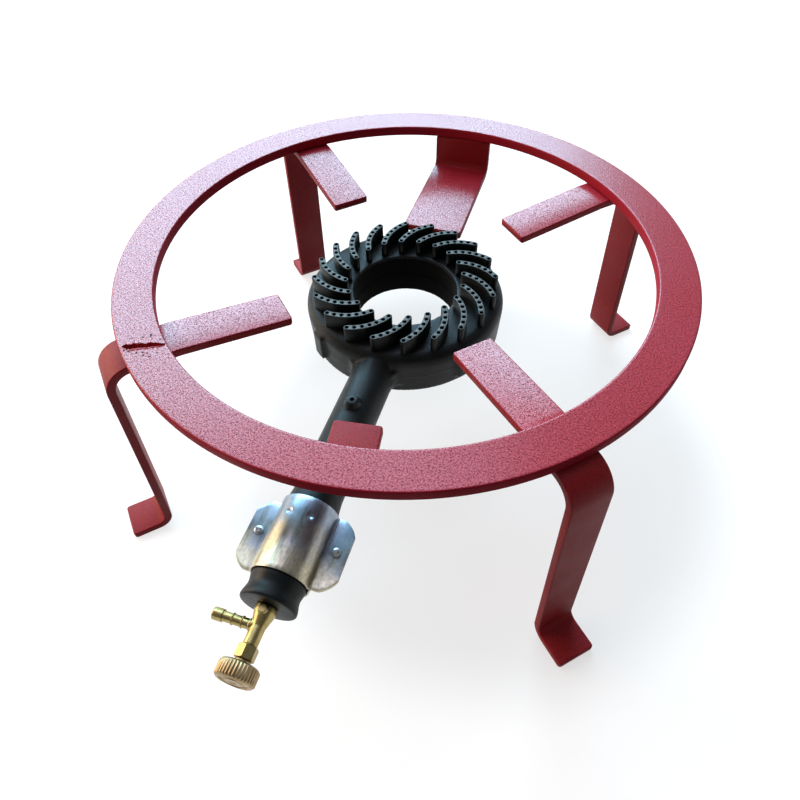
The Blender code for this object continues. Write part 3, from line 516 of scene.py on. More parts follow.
# In the tube's own axes x is sideways, y is up and z runs out along the tube
along_tube = stand_axis @ Matrix.Translation((0, 0, TUBE_HEIGHT)) @ Matrix.Rotation(math.radians(90), 4, "X")
hook_top = HOOK_TOP - TUBE_HEIGHT
hook_line = [(Vector((HOOK_SIDE, hook_top)), Vector((0, -1)))]
for i in range(HOOK_ARC_STEPS + 1):
    angle = HOOK_END * i / HOOK_ARC_STEPS
    out = Vector((math.cos(angle), math.sin(angle)))
    hook_line.append((out * HOOK_SIDE, Vector((out.y, -out.x))))
hook_rows = []
turns = (0, math.pi / 4, math.pi / 2)
ends = [(HOOK_EDGE * (1 - math.cos(a)), HOOK_EDGE * (1 - math.sin(a))) for a in turns]
hook_stations = [(hook_line[0][0] + hook_line[0][1] * back, hook_line[0][1], inset) for back, inset in ends]
hook_stations += [(point, way, 0.0) for point, way in hook_line[1:-1]]
hook_stations += [
    (hook_line[-1][0] - hook_line[-1][1] * back, hook_line[-1][1], inset) for back, inset in reversed(ends)
]
for point, way, inset in hook_stations:
    side = Vector((-way.y, way.x))
    row = []
    for i in range(HOOK_STEPS):
        angle = 2 * math.pi * i / HOOK_STEPS
        radius = HOOK_RADIUS - inset
        across = side * math.cos(angle) * radius
        row.append((point.x + across.x, point.y + across.y, HOOK_REACH + math.sin(angle) * radius))
    hook_rows.append(row)
# The rod takes the dry coat, darker as painted shade under the ring
hook = piece("hook_rod", skin(hook_rows), along_tube, dry_shaded_coat)
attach(hook, "stand")
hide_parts("tube_hook")


# Welds
# Short arc-weld beads that join the legs, the tab and the strap to the ring, under the same coat.
# Each is a row of overlapping ripples lying in the corner between two pieces.
BEAD_LEG = 0.0038
BEAD_RIPPLE = 0.0026
BEAD_STEPS_PER_RIPPLE = 5
BEAD_SECTION_STEPS = 7
BEAD_TIP = 0.35  # height of a bead's ends, as a share of its middle
BEAD_RUN_UP = 6
BEAD_TROUGH = 0.84
BEAD_SWELL = 0.16
BEAD_ROUNDNESS = 0.7
BEAD_HOLLOW = 0.18
BEAD_SINK = 0.0006
BEAD_MARGIN = 0.004
LEG_BEAD_MARGIN = 0.006
STRAP_BEAD_MARGIN = 0.003


def weld_bead(start, end, first_wall, second_wall):
    """A rippled bead from start to end in the corner between two walls, given as ways out along them."""
    way = end - start
    count = max(2, round(way.length / BEAD_RIPPLE)) * BEAD_STEPS_PER_RIPPLE
    rows = []
    for i in range(count + 1):
        share = i / count
        ripple = (share * count / BEAD_STEPS_PER_RIPPLE) % 1
        taper = min(1.0, BEAD_RUN_UP * share + BEAD_TIP, BEAD_RUN_UP * (1 - share) + BEAD_TIP)
        swell = BEAD_TROUGH + BEAD_SWELL * math.sin(math.pi * ripple) ** BEAD_ROUNDNESS
        leg = BEAD_LEG * taper * swell
        row = [start + way * share - first_wall * BEAD_SINK - second_wall * BEAD_SINK]
        for k in range(BEAD_SECTION_STEPS + 1):
            angle = math.pi / 2 * k / BEAD_SECTION_STEPS
            bulge = 1 - BEAD_HOLLOW * math.sin(2 * angle)
            along_first = first_wall * leg * bulge * math.cos(angle)
            along_second = second_wall * leg * bulge * math.sin(angle)
            row.append(start + way * share + along_first + along_second)
        rows.append([tuple(point) for point in row])
    return skin(rows)


def joined(shapes):
    """One mesh from several."""
    whole = bmesh.new()
    for shape in shapes:
        part = bpy.data.meshes.new("part")
        shape.to_mesh(part)
        shape.free()
        whole.from_mesh(part)
        bpy.data.meshes.remove(part)
    return whole


ring_underside = ring_low.z
down = Vector((0, 0, -1))
beads = []
leg_bead_end = ring_radius - LEG_BEAD_MARGIN
bars_under_ring = [(math.radians(degrees), leg_bead_end) for degrees in LEG_AZIMUTHS.values()]
bars_under_ring.append((TAB_AZIMUTH, TAB_PATH[1][0] - BEAD_MARGIN))
for azimuth, reach in bars_under_ring:
    turn = Matrix.Rotation(azimuth, 3, "Z")
    for side in (1, -1):
        inner = turn @ Vector((ring_inner_radius + BEAD_MARGIN, side * BAR_WIDTH / 2, ring_underside))
        outer = turn @ Vector((reach, side * BAR_WIDTH / 2, ring_underside))
        beads.append(weld_bead(inner, outer, turn @ Vector((0, side, 0)), down))
turn = Matrix.Rotation(math.radians(90), 3, "Z")
strap_outside = STRAP_PATH[0][0] + BAR_THICKNESS / 2
beads.append(
    weld_bead(
        turn @ Vector((strap_outside, -STRAP_WIDTH / 2 + STRAP_BEAD_MARGIN, ring_underside)),
        turn @ Vector((strap_outside, STRAP_WIDTH / 2 - STRAP_BEAD_MARGIN, ring_underside)),
        turn @ Vector((1, 0, 0)),
        down,
    )
)
# The beads take the dry coat, darker as painted shade under the ring
welds = piece("weld_beads", joined(beads), stand_axis, dry_shaded_coat)
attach(welds, "stand")


# Burner casting
# One grey-iron casting: a hollow ring with a raised tube, four side pads, a boss and a rear lug.
# Sand cast, so its corners are soft and its skin grainy, then dipped in black stove paint.
DECK = 0.1515
BURNER_BOTTOM = 0.1165
BODY_RADIUS = 0.0770
BODY_DRAFT = 0.0015
DECK_RADIUS = 0.0716
SHOULDER_DROP = 0.0085
HOLE_RADIUS = 0.0398
HOLE_STEP = 0.0005
HOLE_STEP_HEIGHT = 0.1335
SHOULDER_ROLL = 0.004
SHOULDER_STEPS = 8
PAD_AZIMUTHS = (51, 141, 231, 321)
PAD_WIDTH = 0.0114
PAD_HEIGHT = 0.0214
PAD_PROUD = 0.0030
LUG_WIDTH = 0.036
LUG_LOW = 0.1403
LUG_HIGH = 0.1483
LUG_END = 0.1070
TUBE_RADIUS = 0.0157
FLARE_RADIUS = 0.0170
SLEEVE_START = 0.1945
FLARE_LENGTH = 0.012
TUBE_END = 0.2025
BOSS_REACH = 0.1186
BOSS_RADIUS = 0.0048
BOSS_TOP = 0.0202
BOSS_HOLE_RADIUS = 0.0016
BOSS_HOLE_DEPTH = 0.006
BOSS_DRAFT = 0.001
BOSS_SINK = 0.006
BOSS_STEPS = 32
ROOT_FILLET = 0.012
ROOT_STEPS = 12
ROOT_INSET = 0.001
ROOT_HALF_HEIGHT = 0.0075
CAST_OVERLAP = 0.008
PAD_EASE = 0.0003
STUD_REACH = 0.0920
STUD_RADIUS = 0.004
LUG_CLEARANCE = 0.0004
LUG_HOLE_STEPS = 32
BOSS_HOLE_STEPS = 20
DRILL_OVERSHOOT = 0.003
CAST_VOXEL = 0.0012
CAST_SMOOTHING = 5
BURNER_STEPS = 128
TUBE_STEPS = 72


def turned_rows(profile, steps):
    """Rows for a profile of (radius, height) turned about local z."""
    rows = []
    for radius, height in profile:
        turns = [2 * math.pi * i / steps for i in range(steps)]
        rows.append([(radius * math.cos(a), radius * math.sin(a), height) for a in turns])
    return rows


def box_shape(low, high):
    """A block between two corners, to be cast together with others."""
    shape = bmesh.new()
    size = [b - a for a, b in zip(low, high)]
    middle = [(a + b) / 2 for a, b in zip(low, high)]
    bmesh.ops.create_cube(shape, size=1, matrix=Matrix.Translation(middle) @ Matrix.Diagonal((*size, 1)))
    return shape


def placed(shape, place):
    """The mesh moved into the axes of its place."""
    bmesh.ops.transform(shape, matrix=place, verts=shape.verts)
    bmesh.ops.recalc_face_normals(shape, faces=shape.faces)
    return shape


def cut(made, *tools):
    """Cuts solid meshes out of an object and keeps the result as its mesh."""
    for tool in tools:
        step = made.modifiers.new("cut", "BOOLEAN")
        step.operation = "DIFFERENCE"
        step.solver = "EXACT"
        step.object = tool
    settle(made)
    for tool in tools:
        bpy.data.objects.remove(tool)


def settle(made):
    """Applies an object's modifiers to its mesh."""
    bpy.context.view_layer.update()
    graph = bpy.context.evaluated_depsgraph_get()
    mesh = bpy.data.meshes.new_from_object(made.evaluated_get(graph))
    made.modifiers.clear()
    made.data = mesh
    mesh.shade_smooth()
    mesh.set_sharp_from_angle(angle=SMOOTH_ANGLE)


# Black stove paint on cast iron: thin satin black with a blue-green cast, over the grain that the
# sand left, so light breaks up along it in soft grey streaks, and a faint line where the mould closed.
SAND_GRAIN = 0.0011
SAND_HEIGHT = 0.00024
MOULD_LINE = 0.0007
PAINT_PATCH = 0.022
HOLE_SHADE_DRIFT = 0.012
HOLE_SHADE_MARGIN = 0.002
stove_paint, tree, shader = new_finish("black_stove_paint_on_cast_iron")
place = add_node(tree, "ShaderNodeTexCoord", {}).outputs["Object"]
grain = add_node(
    tree, "ShaderNodeTexNoise", {"Vector": place, "Scale": 1 / SAND_GRAIN, "Detail": 3.0, "Roughness": 0.6}
)
patches = add_node(
    tree, "ShaderNodeTexNoise", {"Vector": place, "Scale": 1 / PAINT_PATCH, "Detail": 4.0, "Roughness": 0.6}
)
paint_color = add_node(
    tree,
    "ShaderNodeMix",
    {0: patches.outputs[0], 6: linear("#070a09"), 7: linear("#121715")},
    data_type="RGBA",
)
paint_gloss = add_node(
    tree,
    "ShaderNodeMapRange",
    {"Value": patches.outputs[0], "From Min": 0.3, "From Max": 0.7, "To Min": 0.36, "To Max": 0.52},
)
apart = add_node(tree, "ShaderNodeSeparateXYZ", {0: place})
from_joint = add_node(tree, "ShaderNodeMath", {0: apart.outputs["Z"], 1: TUBE_HEIGHT}, operation="SUBTRACT")
joint_gap = add_node(tree, "ShaderNodeMath", {0: from_joint.outputs[0]}, operation="ABSOLUTE")
flash_line = add_node(
    tree,
    "ShaderNodeMapRange",
    {"Value": joint_gap.outputs[0], "From Min": 0.0, "From Max": MOULD_LINE, "To Min": 1.5, "To Max": 0.0},
    interpolation_type="SMOOTHSTEP",
)
cast_heights = add_node(
    tree, "ShaderNodeMath", {0: grain.outputs[0], 1: flash_line.outputs[0]}, operation="ADD"
)
grain_relief = add_node(
    tree, "ShaderNodeBump", {"Height": cast_heights.outputs[0], "Strength": 0.5, "Distance": SAND_HEIGHT}
)
feed(
    tree,
    shader,
    {
        "Base Color": paint_color.outputs[2],
        "Roughness": paint_gloss.outputs[0],
        "IOR": 1.45,
        "Specular IOR Level": 0.25,
        "Normal": grain_relief.outputs[0],
    },
)

# Painted shade in the burner's hole: a dead, sooty black, browner in soft drifts
hole_shade, tree, shader = new_finish("painted_shade_on_cast_iron")
place = add_node(tree, "ShaderNodeTexCoord", {}).outputs["Object"]
drifts = add_node(
    tree, "ShaderNodeTexNoise", {"Vector": place, "Scale": 1 / HOLE_SHADE_DRIFT, "Detail": 4.0, "Roughness": 0.6}
).outputs[0]
hole_shade_color = add_node(
    tree, "ShaderNodeMix", {0: drifts, 6: linear("#050505"), 7: linear("#100f0d")}, data_type="RGBA"
).outputs[2]
feed(tree, shader, {"Base Color": hole_shade_color, "Roughness": 0.9, "Specular IOR Level": 0.1})

body_profile = [
    (HOLE_RADIUS, BURNER_BOTTOM),
    (BODY_RADIUS - BODY_DRAFT, BURNER_BOTTOM),
    (BODY_RADIUS, DECK - SHOULDER_DROP),
]
for i in range(1, SHOULDER_STEPS + 1):
    angle = math.pi / 2 * i / SHOULDER_STEPS
    body_profile.append(
        (
            DECK_RADIUS - SHOULDER_ROLL + (BODY_RADIUS - DECK_RADIUS + SHOULDER_ROLL) * math.cos(angle),
            DECK - SHOULDER_DROP + SHOULDER_DROP * math.sin(angle),
        )
    )
body_profile += [
    (HOLE_RADIUS + HOLE_STEP, DECK),
    (HOLE_RADIUS + HOLE_STEP, HOLE_STEP_HEIGHT),
    (HOLE_RADIUS, HOLE_STEP_HEIGHT - HOLE_STEP),
]
tube_inside = (HOLE_RADIUS + BODY_RADIUS) / 2
tube_profile = [
    (TUBE_RADIUS, tube_inside),
    (TUBE_RADIUS, SLEEVE_START - FLARE_LENGTH),
    (FLARE_RADIUS, SLEEVE_START),
    (FLARE_RADIUS, TUBE_END),
]
wall_radius = BODY_RADIUS - BODY_DRAFT / 2
fillet_side = TUBE_RADIUS - ROOT_INSET + ROOT_FILLET
fillet_reach = math.sqrt((wall_radius + ROOT_FILLET) ** 2 - fillet_side**2)
fillet_end = math.atan2(-fillet_reach, -fillet_side)
root_side = []
for i in range(ROOT_STEPS + 1):
    angle = -math.pi + (fillet_end + math.pi) * i / ROOT_STEPS
    aside = fillet_side + ROOT_FILLET * math.cos(angle)
    root_side.append((aside, fillet_reach + ROOT_FILLET * math.sin(angle)))
root_plan = [(-x, z) for x, z in root_side[::-1]] + root_side + [(0, tube_inside)]
root_rows = [[(x, y, z) for x, z in root_plan] for y in (-ROOT_HALF_HEIGHT, ROOT_HALF_HEIGHT)]
castings = [placed(skin(turned_rows(body_profile, BURNER_STEPS), loop=True), Matrix())]
tube_place = Matrix.Translation((0, 0, TUBE_HEIGHT)) @ Matrix.Rotation(math.radians(90), 4, "X")
castings.append(placed(skin(turned_rows(tube_profile, TUBE_STEPS)), tube_place))
castings.append(placed(skin(root_rows), tube_place))
boss_place = tube_place @ Matrix.Translation((0, 0, BOSS_REACH)) @ Matrix.Rotation(math.radians(-90), 4, "X")
boss_profile = [(BOSS_RADIUS + BOSS_DRAFT, TUBE_RADIUS - BOSS_SINK), (BOSS_RADIUS, BOSS_TOP)]
castings.append(placed(skin(turned_rows(boss_profile, BOSS_STEPS)), boss_place))
pad_middle = (DECK + BURNER_BOTTOM) / 2
for degrees in PAD_AZIMUTHS:
    pad = box_shape(
        (BODY_RADIUS - CAST_OVERLAP, -PAD_WIDTH / 2, pad_middle - PAD_HEIGHT / 2),
        (BODY_RADIUS + PAD_PROUD - PAD_EASE, PAD_WIDTH / 2, pad_middle + PAD_HEIGHT / 2),
    )
    castings.append(placed(pad, Matrix.Rotation(math.radians(degrees), 4, "Z")))
lug = box_shape(
    (-LUG_WIDTH / 2, BODY_RADIUS - CAST_OVERLAP, LUG_LOW),
    (LUG_WIDTH / 2, LUG_END, LUG_HIGH),
)
castings.append(placed(lug, Matrix()))
burner = piece("burner_body", joined(castings), stand_axis, stove_paint)
remesh = burner.modifiers.new("cast", "REMESH")
remesh.mode = "VOXEL"
remesh.voxel_size = CAST_VOXEL
soften = burner.modifiers.new("soften", "SMOOTH")
soften.factor = 0.5
soften.iterations = CAST_SMOOTHING
settle(burner)
boss_hole = [
    (BOSS_HOLE_RADIUS, BOSS_TOP - BOSS_HOLE_DEPTH),
    (BOSS_HOLE_RADIUS, BOSS_TOP + DRILL_OVERSHOOT),
]
boss_drill = piece(
    "boss_drill",
    skin(turned_rows(boss_hole, BOSS_HOLE_STEPS)),
    stand_axis @ boss_place,
)
lug_hole = [
    (STUD_RADIUS + LUG_CLEARANCE, LUG_LOW - DRILL_OVERSHOOT),
    (STUD_RADIUS + LUG_CLEARANCE, LUG_HIGH + DRILL_OVERSHOOT),
]
lug_drill = piece(
    "lug_drill",
    skin(turned_rows(lug_hole, LUG_HOLE_STEPS)),
    stand_axis @ Matrix.Translation((0, STUD_REACH, 0)),
)
cut(burner, boss_drill, lug_drill)
burner.data.materials.append(hole_shade)
# Painted shade: faces inside the hole take the dead black
for face in burner.data.polygons:
    in_hole = off_axis(face) < HOLE_RADIUS + HOLE_SHADE_MARGIN and face.center.z < DECK - HOLE_SHADE_MARGIN
    face.material_index = 1 if in_hole else 0
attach(burner, "stand")
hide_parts("burner_casting")


# Burner blades
# Twenty curved blades cast on the burner's deck, each drilled with a row of gas ports.
# Their tops were ground flat after painting, so bare iron shows there, with black holes in it.
BLADE_TOP = 0.1635
BLADE_COUNT = 20
BLADE_PHASE = math.radians(16.6)
BLADE_WIDTH = 0.0048
BLADE_ARC_RADIUS = 0.037
BLADE_ENTRY = math.radians(58)
OUTER_PORT_RADIUS = 0.0692
PORTS_PER_BLADE = 7
PORT_SPACING = 0.0055
PORT_RADIUS = 0.0013
PORT_STEPS = 14
BLADE_EASE = 0.0004
BLADE_SIDE_STEPS = 18
BLADE_END_STEPS = 10
BLADE_SINK = 0.0015
BLADE_FOOT = DECK - BLADE_SINK


def blade_point(distance, azimuth):
    """A point on a blade's middle line, this far in from its outer port, and its outward normal."""
    heading = math.pi / 2 - BLADE_ENTRY
    angle = heading + distance / BLADE_ARC_RADIUS
    x = OUTER_PORT_RADIUS + BLADE_ARC_RADIUS * (math.cos(angle) - math.cos(heading))
    y = BLADE_ARC_RADIUS * (math.sin(angle) - math.sin(heading))
    return Matrix.Rotation(azimuth, 2) @ Vector((x, y)), angle + azimuth


blade_outlines = []
port_outlines = []
half = BLADE_WIDTH / 2
blade_length = PORT_SPACING * (PORTS_PER_BLADE - 1)
for blade in range(BLADE_COUNT):
    azimuth = BLADE_PHASE + blade * 2 * math.pi / BLADE_COUNT
    outline = []
    for i in range(BLADE_SIDE_STEPS + 1):
        point, normal = blade_point(blade_length * i / BLADE_SIDE_STEPS, azimuth)
        outline.append(point + Vector((math.cos(normal), math.sin(normal))) * half)
    point, normal = blade_point(blade_length, azimuth)
    for i in range(1, BLADE_END_STEPS):
        angle = normal + math.pi * i / BLADE_END_STEPS
        outline.append(point + Vector((math.cos(angle), math.sin(angle))) * half)
    for i in range(BLADE_SIDE_STEPS, -1, -1):
        point, normal = blade_point(blade_length * i / BLADE_SIDE_STEPS, azimuth)
        outline.append(point - Vector((math.cos(normal), math.sin(normal))) * half)
    point, normal = blade_point(0, azimuth)
    for i in range(1, BLADE_END_STEPS):
        angle = normal + math.pi + math.pi * i / BLADE_END_STEPS
        outline.append(point + Vector((math.cos(angle), math.sin(angle))) * half)
    blade_outlines.append(outline)
    for port in range(PORTS_PER_BLADE):
        point, normal = blade_point(port * PORT_SPACING, azimuth)
        turns = [2 * math.pi * i / PORT_STEPS for i in range(PORT_STEPS)]
        port_outlines.append([point + Vector((math.cos(a), math.sin(a))) * PORT_RADIUS for a in turns])


# Ground cast iron: bare grey metal with short scratches from the grinding belt, darker where gas
# ports and leftover paint stain it.
GRIND_SCRATCH = 0.0005
SCRATCH_DEPTH = 0.00005
SCRATCH_STRETCH = 0.08
BELT_TURN = 0.6
IRON_STAIN = 0.004
GROUND_SLOPE = 0.95
ground_iron, tree, shader = new_finish("ground_cast_iron")
place = add_node(tree, "ShaderNodeTexCoord", {}).outputs["Object"]
belt = add_node(
    tree,
    "ShaderNodeMapping",
    {"Vector": place, "Rotation": (0, 0, BELT_TURN), "Scale": (1, SCRATCH_STRETCH, 1)},
)
scratches = add_node(
    tree,
    "ShaderNodeTexNoise",
    {"Vector": belt.outputs[0], "Scale": 1 / GRIND_SCRATCH, "Detail": 2.0, "Roughness": 0.6},
)
stains = add_node(
    tree, "ShaderNodeTexNoise", {"Vector": place, "Scale": 1 / IRON_STAIN, "Detail": 3.0, "Roughness": 0.6}
)
iron_color = add_node(
    tree,
    "ShaderNodeMix",
    {0: stains.outputs[0], 6: linear("#3b3936"), 7: linear("#5f5b57")},
    data_type="RGBA",
)
iron_gloss = add_node(
    tree,
    "ShaderNodeMapRange",
    {"Value": scratches.outputs[0], "From Min": 0.3, "From Max": 0.7, "To Min": 0.45, "To Max": 0.6},
)
scratch_relief = add_node(
    tree, "ShaderNodeBump", {"Height": scratches.outputs[0], "Strength": 0.3, "Distance": SCRATCH_DEPTH}
)
feed(
    tree,
    shader,
    {
        "Base Color": iron_color.outputs[2],
        "Metallic": 1.0,
        "Roughness": iron_gloss.outputs[0],
        "Normal": scratch_relief.outputs[0],
    },
)

blade_curve = bpy.data.curves.new("blades", "CURVE")
blade_curve.dimensions = "2D"
blade_curve.fill_mode = "BOTH"
blade_curve.extrude = (BLADE_TOP - BLADE_FOOT) / 2 - BLADE_EASE
blade_curve.bevel_depth = BLADE_EASE
blade_curve.bevel_resolution = 1
blade_curve.offset = -BLADE_EASE
for outline in blade_outlines + port_outlines:
    spline = blade_curve.splines.new("POLY")
    spline.points.add(len(outline) - 1)
    spline.use_cyclic_u = True
    for target, point in zip(spline.points, outline):
        target.co = (point.x, point.y, 0, 1)
blade_drawing = bpy.data.objects.new("blades", blade_curve)
bpy.context.scene.collection.objects.link(blade_drawing)
bpy.context.view_layer.update()
blade_mesh = bpy.data.meshes.new_from_object(
    blade_drawing.evaluated_get(bpy.context.evaluated_depsgraph_get())
)
bpy.data.objects.remove(blade_drawing)
blade_shape = bmesh.new()
blade_shape.from_mesh(blade_mesh)
bpy.data.meshes.remove(blade_mesh)
bmesh.ops.remove_doubles(blade_shape, verts=blade_shape.verts, dist=FUSE)
blades_place = stand_axis @ Matrix.Translation((0, 0, (BLADE_TOP + BLADE_FOOT) / 2))
blades = piece("burner_blades", blade_shape, blades_place, stove_paint, ground_iron)
for face in blades.data.polygons:
    face.material_index = 1 if face.normal.z > GROUND_SLOPE else 0
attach(blades, "stand")
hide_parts("burner_casting")


# Stud, washer and nut
# An M8 stud welded under the strap's shelf holds the burner's lug, with a plain washer and a nut.
# Zinc plated steel; the thread is rolled and the washer stamped.
STUD_TOP = 0.1483
WASHER_TOP = 0.1400
WASHER_THICKNESS = 0.0016
WASHER_RADIUS = 0.009
NUT_WIDTH = 0.013
NUT_TOP = 0.1381
NUT_HEIGHT = 0.0065
STUD_TAIL = 0.003
THREAD_PITCH = 0.00125
THREAD_DEPTH = 0.0006
THREAD_STEPS = 28
ROWS_PER_PITCH = 6
HEX_STEPS = 96
THREAD_LEAD_IN = 0.0008
HEX_FACE = 0.97  # radius of the flat end, as a share of half the width across flats
HEX_SLOPE = 0.6
HEX_CORNER_STEPS = (0.35, 0.7)
WASHER_CLEARANCE = 0.0003
WASHER_ROLL = 0.0004
WASHER_EASE = 0.0002
WASHER_STEPS = 64
NUT_CLEARANCE = 0.0001
ZINC_HAZE = 0.003

# Zinc plated steel: a thin bright skin, bluish and faintly cloudy.
zinc_plate, tree, shader = new_finish("zinc_plated_steel")
place = add_node(tree, "ShaderNodeTexCoord", {}).outputs["Object"]
haze = add_node(
    tree, "ShaderNodeTexNoise", {"Vector": place, "Scale": 1 / ZINC_HAZE, "Detail": 3.0, "Roughness": 0.6}
)
zinc_color = add_node(
    tree, "ShaderNodeMix", {0: haze.outputs[0], 6: linear("#a9adb0"), 7: linear("#d6d7d4")}, data_type="RGBA"
)
zinc_gloss = add_node(
    tree,
    "ShaderNodeMapRange",
    {"Value": haze.outputs[0], "From Min": 0.3, "From Max": 0.7, "To Min": 0.22, "To Max": 0.38},
)
feed(
    tree,
    shader,
    {"Base Color": zinc_color.outputs[2], "Metallic": 1.0, "Roughness": zinc_gloss.outputs[0]},
)


def threaded_rows(radius, low, high):
    """Rows of a screw thread along local z, with a pointed start at each end."""
    count = round((high - low) / THREAD_PITCH * ROWS_PER_PITCH)
    rows = []
    for i in range(count + 1):
        height = low + (high - low) * i / count
        row = []
        for k in range(THREAD_STEPS):
            turn = k / THREAD_STEPS
            phase = (height / THREAD_PITCH - turn) % 1
            depth = THREAD_DEPTH * abs(2 * phase - 1)
            ease = max(0.0, THREAD_LEAD_IN - min(height - low, high - height))
            angle = 2 * math.pi * turn
            r = radius - max(depth, ease)
            row.append((r * math.cos(angle), r * math.sin(angle), height))
        rows.append(row)
    return rows


def hex_rows(width, low, high, hole_radius):
    """Rows of a hexagon nut along local z, its corners turned off at both ends, with a hole through it."""
    corner = width / 2 / math.cos(math.pi / 6)
    face_radius = width / 2 * HEX_FACE
    drop = (corner - face_radius) * HEX_SLOPE
    first, second = HEX_CORNER_STEPS
    heights = [low, low + drop * first, low + drop * second, low + drop]
    heights += [high - drop, high - drop * second, high - drop * first, high]
    rows = []
    for height in heights:
        limit = face_radius + min(height - low, high - height) / HEX_SLOPE
        row = []
        for k in range(HEX_STEPS):
            angle = 2 * math.pi * k / HEX_STEPS
            flat = (angle + math.pi / 6) % (math.pi / 3) - math.pi / 6
            radius = min(width / 2 / math.cos(flat), limit)
            row.append((radius * math.cos(angle), radius * math.sin(angle), height))
        rows.append(row)
    for height in (high, low):
        turns = [2 * math.pi * k / HEX_STEPS for k in range(HEX_STEPS)]
        rows.append([(hole_radius * math.cos(a), hole_radius * math.sin(a), height) for a in turns])
    return rows


at_stud = stand_axis @ Matrix.Translation((0, STUD_REACH, 0))
stud = piece(
    "lug_stud",
    skin(threaded_rows(STUD_RADIUS, NUT_TOP - NUT_HEIGHT - STUD_TAIL, STUD_TOP)),
    at_stud,
    zinc_plate,
)
washer_low = WASHER_TOP - WASHER_THICKNESS
washer = piece(
    "lug_washer",
    skin(
        turned_rows(
            [
                (STUD_RADIUS + WASHER_CLEARANCE, WASHER_TOP),
                (WASHER_RADIUS - WASHER_ROLL, WASHER_TOP),
                (WASHER_RADIUS, WASHER_TOP - WASHER_ROLL),
                (WASHER_RADIUS, washer_low + WASHER_EASE),
                (WASHER_RADIUS - WASHER_EASE, washer_low),
                (STUD_RADIUS + WASHER_CLEARANCE, washer_low),
            ],
            WASHER_STEPS,
        ),
        loop=True,
    ),
    at_stud,
    zinc_plate,
)
nut_hole = STUD_RADIUS + NUT_CLEARANCE
nut = piece(
    "lug_nut",
    skin(hex_rows(NUT_WIDTH, NUT_TOP - NUT_HEIGHT, NUT_TOP, nut_hole), loop=True),
    at_stud,
    zinc_plate,
)
for made, node in ((stud, "burner_stud"), (washer, "burner_washer"), (nut, "burner_nut")):
    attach(made, "stand")
    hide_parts(node)


# Mixing head
# A second small iron casting screwed into the tube's end: a cage with two air windows under the
# sleeve, and a waisted collar whose end wall takes the gas valve. Same black paint as the burner.
HEAD_START = 0.2028
SLEEVE_END = 0.2425
FACE = 0.2580
HEAD_RADIUS = 0.0168
HEAD_BORE = 0.0130
COLLAR_RADIUS = 0.0172
WAIST_RADIUS = 0.0156
COLLAR_EDGE = 0.0014
END_WALL = 0.0066
SPIGOT_RADIUS = 0.0107
SPIGOT_LENGTH = 0.012
SPIGOT_WALL = 0.002
WINDOW_START = 0.2088
WINDOW_END = 0.2328
WINDOW_WIDTH = 0.020
WINDOW_CUT = 0.020
VALVE_THREAD_RADIUS = 0.0045
VALVE_CLEARANCE = 0.0003
SPIGOT_SHOULDER = 0.003
EDGE_STEPS = 6
COLLAR_LAP = 0.001
COLLAR_RIM = 1.5  # width of the rim at the face, in collar edges
COLLAR_STEPS = 15
WAIST_LEAN = 1.12
WAIST_SHARPNESS = 1.6
head_profile = [(VALVE_THREAD_RADIUS + VALVE_CLEARANCE, FACE)]
for i in range(EDGE_STEPS + 1):
    angle = math.pi / 2 * (1 - i / EDGE_STEPS)
    edge_radius = COLLAR_RADIUS - COLLAR_EDGE + COLLAR_EDGE * math.cos(angle)
    head_profile.append((edge_radius, FACE - COLLAR_EDGE + COLLAR_EDGE * math.sin(angle)))
collar_low = SLEEVE_END - COLLAR_LAP
collar_high = FACE - COLLAR_RIM * COLLAR_EDGE
for i in range(1, COLLAR_STEPS):
    share = i / COLLAR_STEPS
    height = collar_high + (collar_low - collar_high) * share
    ends = COLLAR_RADIUS + (HEAD_RADIUS - COLLAR_RADIUS) * share
    dip = math.sin(math.pi * min(1.0, share * WAIST_LEAN)) ** WAIST_SHARPNESS
    head_profile.append((ends - (HEAD_RADIUS - WAIST_RADIUS) * dip, height))
head_profile += [
    (HEAD_RADIUS, collar_low),
    (HEAD_RADIUS, HEAD_START),
    (SPIGOT_RADIUS, HEAD_START),
    (SPIGOT_RADIUS, HEAD_START - SPIGOT_LENGTH),
    (SPIGOT_RADIUS - SPIGOT_WALL, HEAD_START - SPIGOT_LENGTH),
    (SPIGOT_RADIUS - SPIGOT_WALL, HEAD_START + SPIGOT_SHOULDER),
    (HEAD_BORE, HEAD_START + SPIGOT_SHOULDER),
    (HEAD_BORE, FACE - END_WALL),
    (VALVE_THREAD_RADIUS + VALVE_CLEARANCE, FACE - END_WALL),
]
head = piece(
    "mixing_head_cage",
    skin(turned_rows(head_profile, TUBE_STEPS), loop=True),
    along_tube,
    stove_paint,
)
window_tool = piece(
    "window_tool",
    box_shape((-WINDOW_WIDTH / 2, -WINDOW_CUT, WINDOW_START), (WINDOW_WIDTH / 2, WINDOW_CUT, WINDOW_END)),
    along_tube,
)
cut(head, window_tool)
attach(head, "stand")
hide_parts("mixing_head")


# Air sleeve
# Two half shells of 1 mm galvanised sheet, bent over a former with flat ears and riveted together.
# The sleeve slides on the mixing head to open its air windows; two pressed dimples grip the tube.
SHEET = 0.001
SHELL_RADIUS = 0.0179
EAR_MIDDLE = 0.00065
EAR_FOLD = 0.0015
EAR_REACH = 0.0323
EAR_CORNER = 0.009
EAR_CUT = 1.45  # 1 is a round corner and 2 a straight cut
EAR_TRIM = 0.001
SHELL_STEPS = 84
FOLD_STEPS = 6
EAR_FLAT_STEPS = 6
EAR_CORNER_STEPS = 10
DIMPLE_PLACE = 0.2062
DIMPLE_SIDE = 0.0066
DIMPLE_RADIUS = 0.0021
DIMPLE_DEPTH = 0.0011
DIMPLE_RIM = 1.6  # where a dimple ends, in its radii
DIMPLE_FALL = 2.2
SHEARED_EDGE = 0.00015
SHEARED_ANGLE = math.radians(60)
